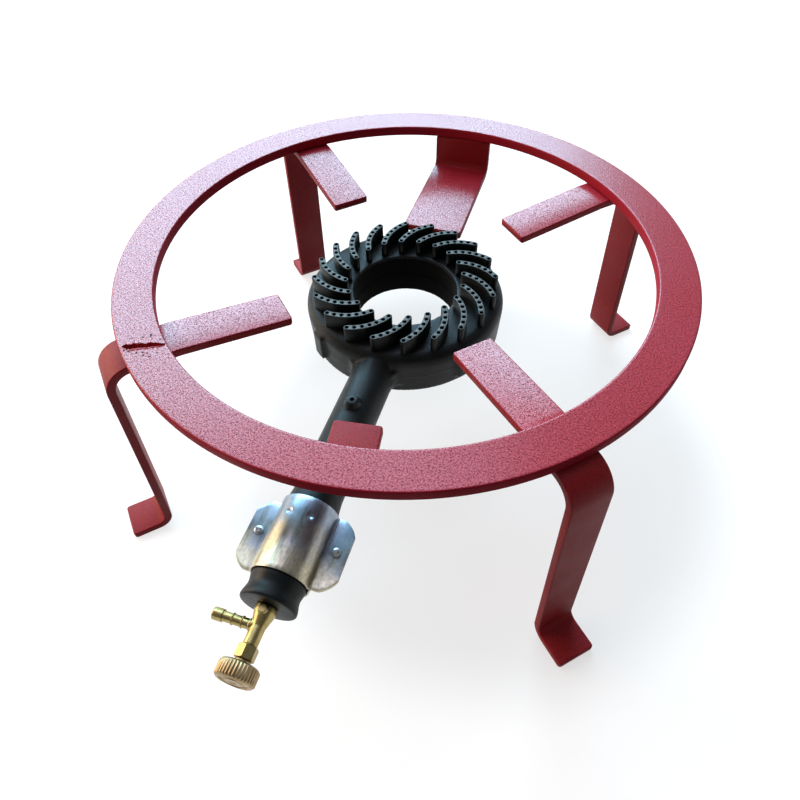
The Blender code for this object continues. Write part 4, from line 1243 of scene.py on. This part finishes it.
# Stations along a half shell, as shares of its half length: first, step and count; close at the dimples
DIMPLE_STATIONS = (-0.80, 0.026, 24)
PLAIN_STATIONS = (-0.1, 0.11, 11)
END_STATIONS = [-1.0, -0.86]

# Galvanised sheet: dull bright zinc, mottled by its small crystals and passivated blue at one end and
# straw at the other. Rolling left it slightly wavy, so reflections run and blur.
MOTTLE = 0.0022
SMEAR = 0.0045
SHEET_WAVE = 0.016
SHEET_WAVE_HEIGHT = 0.0010
TINT_DRIFT = 0.010
STRAW_START = 0.012
STRAW_END = 0.010
ROLLING_STRETCH = 0.16
galvanised, tree, shader = new_finish("galvanised_steel_sheet")
place = add_node(tree, "ShaderNodeTexCoord", {}).outputs["Object"]
apart = add_node(tree, "ShaderNodeSeparateXYZ", {0: place})
waves = add_node(
    tree, "ShaderNodeTexNoise", {"Vector": place, "Scale": 1 / SHEET_WAVE, "Detail": 2.0, "Roughness": 0.5}
)
mottle = add_node(
    tree, "ShaderNodeTexNoise", {"Vector": place, "Scale": 1 / MOTTLE, "Detail": 3.0, "Roughness": 0.65}
)
drift = add_node(
    tree,
    "ShaderNodeMapRange",
    {
        "Value": waves.outputs[0],
        "From Min": 0.3,
        "From Max": 0.7,
        "To Min": -TINT_DRIFT,
        "To Max": TINT_DRIFT,
    },
)
along_sheet = add_node(tree, "ShaderNodeMath", {0: apart.outputs["Y"], 1: drift.outputs[0]}, operation="ADD")
straw_share = add_node(
    tree,
    "ShaderNodeMapRange",
    {
        "Value": along_sheet.outputs[0],
        "From Min": stand_axis.translation.y - SLEEVE_START - STRAW_START,
        "From Max": stand_axis.translation.y - SLEEVE_END + STRAW_END,
        "To Min": 0.0,
        "To Max": 1.0,
    },
    interpolation_type="SMOOTHSTEP",
)
passivation = add_node(
    tree,
    "ShaderNodeMix",
    {0: straw_share.outputs[0], 6: linear("#a5b4c6"), 7: linear("#cec4a6")},
    data_type="RGBA",
)
mottle_share = add_node(
    tree,
    "ShaderNodeMapRange",
    {"Value": mottle.outputs[0], "From Min": 0.35, "From Max": 0.75, "To Min": 0.0, "To Max": 0.6},
)
mottled = add_node(
    tree,
    "ShaderNodeMix",
    {0: mottle_share.outputs[0], 6: passivation.outputs[2], 7: linear("#8b8d8a")},
    data_type="RGBA",
)
rolled = add_node(tree, "ShaderNodeMapping", {"Vector": place, "Scale": (1, ROLLING_STRETCH, 1)})
smears = add_node(
    tree,
    "ShaderNodeTexNoise",
    {"Vector": rolled.outputs[0], "Scale": 1 / SMEAR, "Detail": 3.0, "Roughness": 0.6},
)
smear_share = add_node(
    tree,
    "ShaderNodeMapRange",
    {"Value": smears.outputs[0], "From Min": 0.48, "From Max": 0.75, "To Min": 0.0, "To Max": 0.75},
)
sheet_color = add_node(
    tree,
    "ShaderNodeMix",
    {0: smear_share.outputs[0], 6: mottled.outputs[2], 7: linear("#5f5b54")},
    data_type="RGBA",
)
sheet_gloss = add_node(
    tree,
    "ShaderNodeMapRange",
    {"Value": mottle.outputs[0], "From Min": 0.3, "From Max": 0.7, "To Min": 0.30, "To Max": 0.42},
)
wave_relief = add_node(
    tree, "ShaderNodeBump", {"Height": waves.outputs[0], "Strength": 0.4, "Distance": SHEET_WAVE_HEIGHT}
)
feed(
    tree,
    shader,
    {
        "Base Color": sheet_color.outputs[2],
        "Metallic": 1.0,
        "Roughness": sheet_gloss.outputs[0],
        "Normal": wave_relief.outputs[0],
    },
)

fold_x = math.sqrt((SHELL_RADIUS + EAR_FOLD) ** 2 - (EAR_MIDDLE + EAR_FOLD) ** 2)
fold_angle = math.atan2(EAR_MIDDLE + EAR_FOLD, fold_x)
ear_half = (SLEEVE_END - SLEEVE_START) / 2 - EAR_TRIM
shell_half = (SLEEVE_END - SLEEVE_START) / 2
sleeve_middle = (SLEEVE_END + SLEEVE_START) / 2
# One ear and its fold, from the tip inwards: across, up, half length along the tube
ear_line = []
for i in range(EAR_CORNER_STEPS):
    angle = math.pi / 2 * (1 - i / EAR_CORNER_STEPS)
    corner_x = EAR_CORNER * (1 - math.sin(angle) ** EAR_CUT)
    corner_z = EAR_CORNER * (1 - max(math.cos(angle), 0.0) ** EAR_CUT)
    ear_line.append((EAR_REACH - corner_x, EAR_MIDDLE, ear_half - corner_z))
for i in range(EAR_FLAT_STEPS):
    start = EAR_REACH - EAR_CORNER
    ear_line.append((start + (fold_x - start) * i / EAR_FLAT_STEPS, EAR_MIDDLE, ear_half))
for i in range(FOLD_STEPS):
    angle = -math.pi / 2 - (math.pi / 2 - fold_angle) * i / FOLD_STEPS
    ear_line.append(
        (
            fold_x + EAR_FOLD * math.cos(angle),
            EAR_MIDDLE + EAR_FOLD + EAR_FOLD * math.sin(angle),
            ear_half + EAR_TRIM * i / FOLD_STEPS,
        )
    )
shell_line = []
for i in range(SHELL_STEPS + 1):
    angle = fold_angle + (math.pi - 2 * fold_angle) * i / SHELL_STEPS
    shell_line.append((SHELL_RADIUS * math.cos(angle), SHELL_RADIUS * math.sin(angle), shell_half))
half_line = ear_line + shell_line + [(-x, y, reach) for x, y, reach in ear_line[::-1]]
stations = list(END_STATIONS)
for first, step, count in (DIMPLE_STATIONS, PLAIN_STATIONS):
    stations += [first + step * i for i in range(count)]


def half_sleeve(side, dimpled):
    """One half shell with its ears, above (1) or below (-1) the tube's middle."""
    shape = bmesh.new()
    grid = []
    for share in stations:
        row = []
        for x, y, reach in half_line:
            along = sleeve_middle + share * reach
            if dimpled:
                for dimple in (-DIMPLE_SIDE, DIMPLE_SIDE):
                    away = math.hypot(x - dimple, along - DIMPLE_PLACE) / DIMPLE_RADIUS
                    if y > EAR_FOLD and away < DIMPLE_RIM:
                        push = DIMPLE_DEPTH * math.exp(-DIMPLE_FALL * away * away)
                        x, y = x * (1 - push / SHELL_RADIUS), y * (1 - push / SHELL_RADIUS)
            row.append(shape.verts.new((x, y * side, along)))
        grid.append(row)
    for row, after in zip(grid, grid[1:]):
        for i in range(len(row) - 1):
            shape.faces.new((row[i], row[i + 1], after[i + 1], after[i]))
    return shape


for half_name, side in (("upper", 1), ("lower", -1)):
    shell = piece(f"sleeve_sheet_{half_name}", half_sleeve(side, side > 0), along_tube, galvanised)
    thicken = shell.modifiers.new("sheet", "SOLIDIFY")
    thicken.thickness = SHEET
    thicken.offset = 0
    ease = shell.modifiers.new("sheared_edge", "BEVEL")
    ease.width = SHEARED_EDGE
    ease.segments = 2
    ease.limit_method = "ANGLE"
    ease.angle_limit = SHEARED_ANGLE
    settle(shell)
    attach(shell, "air_sleeve")
    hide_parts(f"air_sleeve_{half_name}")


# Sleeve rivets
# One rivet through each pair of ears, its round head above and a hammered one below.
# Steel, zinc plated like the stud.
RIVET_SIDE = 0.025
RIVET_PLACE = 0.2165
RIVET_SHANK = 0.0015
RIVET_HEAD = 0.0029
RIVET_RISE = 0.0017
RIVET_SEAT = 0.00118
RIVET_RIM = 0.0004
RIVET_DOME = 0.6
DOME_STEPS = 8
RIVET_STEPS = 40
rivet_profile = [(0.0, RIVET_SEAT + RIVET_RISE)]
for i in range(1, DOME_STEPS + 1):
    angle = math.pi / 2 * (1 - i / DOME_STEPS)
    dome_height = RIVET_SEAT + RIVET_RIM + (RIVET_RISE - RIVET_RIM) * math.sin(angle)
    rivet_profile.append((RIVET_HEAD * math.cos(angle) ** RIVET_DOME, dome_height))
rivet_profile += [(RIVET_HEAD, RIVET_SEAT), (RIVET_SHANK, RIVET_SEAT)]
rivet_profile += [(radius, -height) for radius, height in rivet_profile[::-1]]
rivet_turn = Matrix.Rotation(math.radians(-90), 4, "X")
for hand, side in (("left", -1), ("right", 1)):
    rivet = piece(
        f"rivet_{hand}",
        skin(turned_rows(rivet_profile, RIVET_STEPS)),
        along_tube @ Matrix.Translation((side * RIVET_SIDE, 0, RIVET_PLACE)) @ rivet_turn,
        zinc_plate,
    )
    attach(rivet, "air_sleeve")
    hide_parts(f"sleeve_rivet_{hand}")


# Valve body
# A small brass forging screwed into the collar's end wall: flange, taper and neck in one turn, with a
# capped boss above. The needle seat, jet and packing are inside it.
FLANGE_RADIUS = 0.0064
FLANGE_LENGTH = 0.0035
TAPER_LENGTH = 0.008
NECK_RADIUS = 0.0042
VALVE_END = 0.2800
BOSS_CAP_RADIUS = 0.0028
BOSS_CAP_RISE = 0.0069
BARB_PLACE = 0.2695
VALVE_VOXEL = 0.00026
VALVE_SMOOTHING = 3
VALVE_THREAD_LENGTH = 0.0125
VALVE_STEPS = 64
FACE_GAP = 0.0003
CAP_EDGE = 0.0004
BOSS_CAP_STEPS = 40
SOCKET_RADIUS = 0.0036
SOCKET_MOUTH = 0.0032
SOCKET_RISE = 0.0006
SOCKET_EDGE = 0.0012

# Forged and machined brass: warm yellow metal with fine tool rings and a slight brown tarnish.
TOOL_MARK = 0.0004
TOOL_MARK_DEPTH = 0.00006
TOOL_MARK_STRETCH = 0.08
TARNISH = 0.005
forged_brass, tree, shader = new_finish("forged_brass")
place = add_node(tree, "ShaderNodeTexCoord", {}).outputs["Object"]
tarnish = add_node(
    tree, "ShaderNodeTexNoise", {"Vector": place, "Scale": 1 / TARNISH, "Detail": 4.0, "Roughness": 0.6}
)
brass_color = add_node(
    tree,
    "ShaderNodeMix",
    {0: tarnish.outputs[0], 6: linear("#86723f"), 7: linear("#c3b27a")},
    data_type="RGBA",
)
stretch = add_node(
    tree, "ShaderNodeMapping", {"Vector": place, "Scale": (TOOL_MARK_STRETCH, 1, TOOL_MARK_STRETCH)}
)
tool_marks = add_node(
    tree,
    "ShaderNodeTexNoise",
    {"Vector": stretch.outputs[0], "Scale": 1 / TOOL_MARK, "Detail": 2.0, "Roughness": 0.5},
)
brass_gloss = add_node(
    tree,
    "ShaderNodeMapRange",
    {"Value": tarnish.outputs[0], "From Min": 0.3, "From Max": 0.7, "To Min": 0.38, "To Max": 0.28},
)
tool_relief = add_node(
    tree, "ShaderNodeBump", {"Height": tool_marks.outputs[0], "Strength": 0.35, "Distance": TOOL_MARK_DEPTH}
)
feed(
    tree,
    shader,
    {
        "Base Color": brass_color.outputs[2],
        "Metallic": 1.0,
        "Roughness": brass_gloss.outputs[0],
        "Normal": tool_relief.outputs[0],
    },
)

valve_profile = [
    (VALVE_THREAD_RADIUS, FACE - VALVE_THREAD_LENGTH),
    (VALVE_THREAD_RADIUS, FACE + FACE_GAP),
    (FLANGE_RADIUS, FACE + FACE_GAP),
    (FLANGE_RADIUS, FACE + FLANGE_LENGTH),
    (NECK_RADIUS, FACE + FLANGE_LENGTH + TAPER_LENGTH),
    (NECK_RADIUS, VALVE_END),
]
valve_shapes = [placed(skin(turned_rows(valve_profile, VALVE_STEPS)), Matrix())]
cap_turn = Matrix.Rotation(math.radians(-90), 4, "X")
cap_place = Matrix.Translation((0, 0, FACE + FACE_GAP + BOSS_CAP_RADIUS)) @ cap_turn
cap_profile = [
    (BOSS_CAP_RADIUS, 0.0),
    (BOSS_CAP_RADIUS, BOSS_CAP_RISE - CAP_EDGE),
    (BOSS_CAP_RADIUS - CAP_EDGE, BOSS_CAP_RISE),
]
valve_shapes.append(placed(skin(turned_rows(cap_profile, BOSS_CAP_STEPS)), cap_place))
barb_turn = Matrix.Translation((0, 0, BARB_PLACE)) @ Matrix.Rotation(math.radians(-90), 4, "Y")
socket_profile = [
    (SOCKET_RADIUS, 0.0),
    (SOCKET_RADIUS, NECK_RADIUS + SOCKET_RISE),
    (SOCKET_MOUTH, NECK_RADIUS + SOCKET_EDGE),
]
valve_shapes.append(placed(skin(turned_rows(socket_profile, BOSS_CAP_STEPS)), barb_turn))
valve = piece("valve_forging", joined(valve_shapes), along_tube, forged_brass)
remesh = valve.modifiers.new("forge", "REMESH")
remesh.mode = "VOXEL"
remesh.voxel_size = VALVE_VOXEL
soften = valve.modifiers.new("soften", "SMOOTH")
soften.factor = 0.5
soften.iterations = VALVE_SMOOTHING
settle(valve)
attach(valve, "stand")
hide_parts("valve_body")


# Hose barb
# A turned brass tail screwed into the valve body's side, with a rounded head and two sharp ridges
# that bite into the gas hose.
BARB_REACH = 0.0273
BARB_HEAD_LENGTH = 0.0063
BARB_ROOT = 0.0029
BARB_RIDGE = 0.0035
BARB_HEAD = 0.0036
BARB_PITCH = 0.0058
BARB_RIDGE_LENGTH = 0.0012
BARB_BORE = 0.0016
BARB_SEAT = 0.0012
BARB_CREST = 0.0001
BARB_NOSE = 0.0012
BORE_EASE = 0.0003
BARB_STEPS = 56
head_back = BARB_REACH - BARB_HEAD_LENGTH
barb_profile = [(BARB_BORE, NECK_RADIUS - BARB_SEAT), (BARB_ROOT, NECK_RADIUS - BARB_SEAT)]
for ridge in (head_back - 2 * BARB_PITCH, head_back - BARB_PITCH):
    barb_profile += [
        (BARB_ROOT, ridge - BARB_RIDGE_LENGTH / 2),
        (BARB_RIDGE, ridge - BARB_CREST),
        (BARB_RIDGE, ridge + BARB_CREST),
        (BARB_ROOT, ridge + BARB_RIDGE_LENGTH / 2),
    ]
barb_profile += [
    (BARB_ROOT, head_back),
    (BARB_HEAD - BARB_CREST, head_back),
    (BARB_HEAD, head_back + BARB_CREST),
]
for i in range(EDGE_STEPS + 1):
    angle = math.pi / 2 * i / EDGE_STEPS
    barb_profile.append(
        (
            BARB_HEAD - BARB_NOSE + BARB_NOSE * math.cos(angle),
            BARB_REACH - BARB_NOSE + BARB_NOSE * math.sin(angle),
        )
    )
barb_profile += [(BARB_BORE + BORE_EASE, BARB_REACH), (BARB_BORE, BARB_REACH - BORE_EASE)]
barb = piece(
    "hose_barb_tail",
    skin(turned_rows(barb_profile, BARB_STEPS), loop=True),
    along_tube @ barb_turn,
    forged_brass,
)
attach(barb, "stand")
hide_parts("hose_barb")


# Bonnet nut
# A brass hexagon screwed down over the packing, through which the stem turns.
# Turned from hexagon bar, with its corners chamfered at both ends.
BONNET_WIDTH = 0.0104
BONNET_START = 0.2803
BONNET_END = 0.2876
STEM_HOLE = 0.0017
bonnet = piece(
    "bonnet_hexagon",
    skin(hex_rows(BONNET_WIDTH, BONNET_START, BONNET_END, STEM_HOLE), loop=True),
    along_tube,
    forged_brass,
)
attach(bonnet, "stand")
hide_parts("bonnet_nut")


# Knob
# A thick brass disc with straight flutes rolled round its rim, a short hub, and a plain ring turned
# into its front. Tumbled, so it is more copper-coloured and softer than the valve.
KNOB_RADIUS = 0.0115
KNOB_BACK = 0.2900
KNOB_FRONT = 0.2995
KNOB_CHAMFER = 0.0012
KNOB_FLUTES = 36
FLUTE_STEPS = 8
FLUTE_DEPTH = 0.00055
HUB_RADIUS = 0.0045
HUB_START = 0.2879
DISH_INNER = 0.0054
DISH_OUTER = 0.0086
DISH_DEPTH = 0.0008
DISH_SLOPE = 0.0004
FLUTE_SHARPNESS = 1.5
FLUTE_FADE = 0.4  # share of a flute's depth where the chamfer turns
FADE_START = 0.8
FADE_END = 1.3
HUB_EDGE = 0.0003
KNOB_EDGE = 0.0006
KNOB_EASE = 0.0002
PIN_RADIUS = 0.0022
PIN_FLOOR = 0.0018
PIN_STEP = 0.0003
PIN_DEPTH = 0.0004
KNOB_WALL = 0.0025

# Tumbled brass: rounder, warmer and duller than the forging, browner in random patches.
TUMBLE_WEAR = 0.004
TUMBLE_DENT = 0.0009
DENT_DEPTH = 0.00008
tumbled_brass, tree, shader = new_finish("tumbled_brass")
place = add_node(tree, "ShaderNodeTexCoord", {}).outputs["Object"]
wear = add_node(
    tree, "ShaderNodeTexNoise", {"Vector": place, "Scale": 1 / TUMBLE_WEAR, "Detail": 4.0, "Roughness": 0.6}
)
dents = add_node(
    tree, "ShaderNodeTexNoise", {"Vector": place, "Scale": 1 / TUMBLE_DENT, "Detail": 2.0, "Roughness": 0.5}
)
knob_color = add_node(
    tree,
    "ShaderNodeMix",
    {0: wear.outputs[0], 6: linear("#7b6747"), 7: linear("#b9a077")},
    data_type="RGBA",
)
knob_gloss = add_node(
    tree,
    "ShaderNodeMapRange",
    {"Value": wear.outputs[0], "From Min": 0.3, "From Max": 0.7, "To Min": 0.42, "To Max": 0.30},
)
dent_relief = add_node(
    tree, "ShaderNodeBump", {"Height": dents.outputs[0], "Strength": 0.35, "Distance": DENT_DEPTH}
)
feed(
    tree,
    shader,
    {
        "Base Color": knob_color.outputs[2],
        "Metallic": 1.0,
        "Roughness": knob_gloss.outputs[0],
        "Normal": dent_relief.outputs[0],
    },
)

# Radius, height and share of the flute's depth
knob_profile = [
    (STEM_HOLE, HUB_START, 0),
    (HUB_RADIUS - HUB_EDGE, HUB_START, 0),
    (HUB_RADIUS, HUB_START + HUB_EDGE, 0),
    (HUB_RADIUS, KNOB_BACK, 0),
    (KNOB_RADIUS - KNOB_CHAMFER - KNOB_EDGE, KNOB_BACK, 0),
    (KNOB_RADIUS - KNOB_CHAMFER, KNOB_BACK + KNOB_EASE, 0),
    (KNOB_RADIUS - KNOB_CHAMFER / 3, KNOB_BACK + KNOB_CHAMFER * FADE_START, FLUTE_FADE),
    (KNOB_RADIUS, KNOB_BACK + KNOB_CHAMFER * FADE_END, 1),
    (KNOB_RADIUS, KNOB_FRONT - KNOB_CHAMFER * FADE_END, 1),
    (KNOB_RADIUS - KNOB_CHAMFER / 3, KNOB_FRONT - KNOB_CHAMFER * FADE_START, FLUTE_FADE),
    (KNOB_RADIUS - KNOB_CHAMFER, KNOB_FRONT - KNOB_EASE, 0),
    (KNOB_RADIUS - KNOB_CHAMFER - KNOB_EDGE, KNOB_FRONT, 0),
    (DISH_OUTER + KNOB_EASE, KNOB_FRONT, 0),
    (DISH_OUTER, KNOB_FRONT - KNOB_EASE, 0),
    (DISH_OUTER - DISH_SLOPE, KNOB_FRONT - DISH_DEPTH, 0),
    (DISH_INNER + DISH_SLOPE, KNOB_FRONT - DISH_DEPTH, 0),
    (DISH_INNER, KNOB_FRONT - KNOB_EASE, 0),
    (DISH_INNER - KNOB_EASE, KNOB_FRONT, 0),
    (PIN_RADIUS, KNOB_FRONT, 0),
    (PIN_FLOOR, KNOB_FRONT - PIN_STEP, 0),
    (0.0, KNOB_FRONT - PIN_DEPTH, 0),
    (0.0, KNOB_FRONT - KNOB_WALL, 0),
    (STEM_HOLE, KNOB_FRONT - KNOB_WALL, 0),
]
knob_rows = []
knob_turns = KNOB_FLUTES * FLUTE_STEPS
for radius, height, share in knob_profile:
    row = []
    for i in range(knob_turns):
        angle = 2 * math.pi * i / knob_turns
        groove = (0.5 - 0.5 * math.cos(2 * math.pi * i / FLUTE_STEPS)) ** FLUTE_SHARPNESS
        r = radius - FLUTE_DEPTH * share * groove
        row.append((r * math.cos(angle), r * math.sin(angle), height))
    knob_rows.append(row)
knob = piece("knob_disc", skin(knob_rows, loop=True), along_tube, tumbled_brass)
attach(knob, "knob")
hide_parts("valve_knob")


# Stem, packing and jet
# The plated steel needle, the white packing ring round it and the drilled brass jet stay as the frame
# has them, since no side shows them; each takes the finish of its own metal or plastic.

# White packing: moulded PTFE, waxy and slightly uneven.
PACKING_CLOUD = 0.002
white_packing, tree, shader = new_finish("moulded_ptfe")
place = add_node(tree, "ShaderNodeTexCoord", {}).outputs["Object"]
cloud = add_node(
    tree,
    "ShaderNodeTexNoise",
    {"Vector": place, "Scale": 1 / PACKING_CLOUD, "Detail": 2.0, "Roughness": 0.5},
)
ptfe_color = add_node(
    tree,
    "ShaderNodeMix",
    {0: cloud.outputs[0], 6: linear("#dcdad2"), 7: linear("#f0efea")},
    data_type="RGBA",
)
feed(tree, shader, {"Base Color": ptfe_color.outputs[2], "Roughness": 0.5, "IOR": 1.35})
kept_finishes = {"needle_stem": zinc_plate, "stem_packing": white_packing, "gas_jet": forged_brass}
for node, finish in kept_finishes.items():
    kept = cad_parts[node]
    kept.data.materials.clear()
    kept.data.materials.append(finish)


# Floor and light
# A plain white sweep that keeps a pale shadow. A long low lamp behind on the left is like a strip of
# open sky, with a wide soft lamp above it, a warm one on the left, and a surround that dims to the front.
SWEEP_RADIUS = 3.0
SWEEP_HEIGHT = 1.0
SWEEP_CURVE = 0.6
SWEEP_STEPS = 12
# Painted shadow on the paper, in soft patches where the stand keeps light from it: middle x and y, radius,
# blur and depth of each patch
SHADE_PATCHES = [(0.072, 0.022, 0.212, 0.035, 0.17), (-0.045, 0.175, 0.085, 0.070, 0.16)]
PAPER_GLOW = 0.735
SKY_WAY = (-0.35, 0.70, 0.62)
LAMP_AIM = 0.15
sweep_profile = [(0.0, 0.0)]
for i in range(SWEEP_STEPS + 1):
    angle = math.pi / 2 * i / SWEEP_STEPS
    sweep_reach = SWEEP_RADIUS - SWEEP_CURVE + SWEEP_CURVE * math.sin(angle)
    sweep_profile.append((sweep_reach, SWEEP_CURVE - SWEEP_CURVE * math.cos(angle)))
sweep_profile.append((SWEEP_RADIUS, SWEEP_HEIGHT))
sweep_shape = skin(turned_rows(sweep_profile, BURNER_STEPS))
bmesh.ops.delete(sweep_shape, geom=[f for f in sweep_shape.faces if len(f.verts) > 4], context="FACES_ONLY")
white_floor = bpy.data.materials.new("white_paper_sweep")
white_floor.use_nodes = True
tree = white_floor.node_tree
tree.nodes.clear()
path = add_node(tree, "ShaderNodeLightPath", {})
seen_or_mirrored = add_node(
    tree,
    "ShaderNodeMath",
    {0: path.outputs["Is Camera Ray"], 1: path.outputs["Is Glossy Ray"]},
    operation="MAXIMUM",
)
seen = add_node(
    tree,
    "ShaderNodeMath",
    {0: seen_or_mirrored.outputs[0], 1: path.outputs["Is Transmission Ray"]},
    operation="MAXIMUM",
)
shaded = add_node(tree, "ShaderNodeBsdfDiffuse", {"Color": linear("#595959")})
lit = add_node(tree, "ShaderNodeBsdfDiffuse", {"Color": linear("#b1a7a1")})
glow = add_node(tree, "ShaderNodeEmission", {"Color": (1, 1, 1, 1), "Strength": PAPER_GLOW})
pale = add_node(tree, "ShaderNodeAddShader", {0: glow.outputs[0], 1: lit.outputs[0]})
# Painted shadow: the patches darken the paper as cameras and reflections see it
spot = add_node(tree, "ShaderNodeTexCoord", {}).outputs["Object"]
shade = 1.0
for x, y, radius, blur, depth in SHADE_PATCHES:
    reach = add_node(tree, "ShaderNodeVectorMath", {0: spot, 1: (x, y, 0)}, operation="DISTANCE")
    patch = add_node(
        tree,
        "ShaderNodeMapRange",
        {
            "Value": reach.outputs["Value"],
            "From Min": radius - blur,
            "From Max": radius + blur,
            "To Min": 1 - depth,
            "To Max": 1.0,
        },
        interpolation_type="SMOOTHSTEP",
    )
    darker = add_node(tree, "ShaderNodeMath", {0: shade, 1: patch.outputs[0]}, operation="MULTIPLY")
    shade = darker.outputs[0]
dimmed = add_node(tree, "ShaderNodeMixShader", {0: shade, 2: pale.outputs[0]})
either = add_node(
    tree, "ShaderNodeMixShader", {0: seen.outputs[0], 1: shaded.outputs[0], 2: dimmed.outputs[0]}
)
add_node(tree, "ShaderNodeOutputMaterial", {"Surface": either.outputs[0]})
sweep = piece("paper_sweep", sweep_shape, Matrix(), white_floor)
sweep.visible_shadow = False

world = bpy.data.worlds.new("surround")
bpy.context.scene.world = world
world.use_nodes = True
tree = world.node_tree
tree.nodes.clear()
way = add_node(tree, "ShaderNodeTexCoord", {}).outputs["Generated"]
towards_sky = add_node(tree, "ShaderNodeVectorMath", {0: way, 1: SKY_WAY}, operation="DOT_PRODUCT")
sky_share = add_node(
    tree,
    "ShaderNodeMapRange",
    {
        "Value": towards_sky.outputs["Value"],
        "From Min": -0.3,
        "From Max": 0.9,
        "To Min": 0.05,
        "To Max": 0.40,
    },
)
sky = add_node(
    tree, "ShaderNodeBackground", {"Color": linear("#f2f5ff"), "Strength": sky_share.outputs[0]}
)
add_node(tree, "ShaderNodeOutputWorld", {"Surface": sky.outputs[0]})

# Bearing, height and roll in degrees, distance, width and height in metres, radiance and colour
LAMPS = {
    "sky_strip": (122, 32, 10, 3.0, 3.4, 1.75, 10.4, "#aadcf4"),
    "roof_lamp": (120, 64, 0, 2.2, 1.3, 1.1, 2.9, "#dcdeff"),
    "side_lamp": (182, 18, 0, 2.0, 1.5, 1.2, 5.6, "#ffe3c4"),
}
for name, (bearing, height, roll, reach, across, tall, radiance, color) in LAMPS.items():
    lamp = bpy.data.lights.new(name, "AREA")
    lamp.shape = "RECTANGLE"
    lamp.size = across
    lamp.size_y = tall
    lamp.energy = radiance * math.pi * across * tall
    lamp.color = linear(color)[:3]
    holder = bpy.data.objects.new(name, lamp)
    out = Matrix.Rotation(math.radians(bearing), 3, "Z") @ Matrix.Rotation(math.radians(-height), 3, "Y")
    towards = out @ Vector((1, 0, 0))
    holder.location = towards * reach + Vector((0, 0, LAMP_AIM))
    rolled = towards.to_track_quat("Z", "Y").to_matrix() @ Matrix.Rotation(math.radians(roll), 3, "Z")
    holder.rotation_euler = rolled.to_euler()
    holder.visible_camera = False
    bpy.context.scene.collection.objects.link(holder)


# Camera
# Where the photograph was taken from, solved from the ring's ellipse and the four feet.
CAMERA_PLACE = (0.11599, -0.31552, 0.47292)
CAMERA_RIGHT = (0.95327, 0.30166, -0.01693)
CAMERA_UP = (-0.22200, 0.73734, 0.63801)
CAMERA_BACK = (0.20494, -0.60443, 0.76985)
CAMERA_LENS = 28.21
CAMERA_SENSOR = 36.0
CAMERA_NEAR = 0.01
view = bpy.data.cameras.new("camera")
view.sensor_width = CAMERA_SENSOR
view.lens = CAMERA_LENS
view.clip_start = CAMERA_NEAR
camera = bpy.data.objects.new("camera", view)
camera.matrix_world = Matrix.Translation(CAMERA_PLACE) @ Matrix(
    (CAMERA_RIGHT, CAMERA_UP, CAMERA_BACK)
).transposed().to_4x4()
bpy.context.scene.collection.objects.link(camera)
bpy.context.scene.camera = camera
bpy.context.scene.view_settings.view_transform = "Standard"
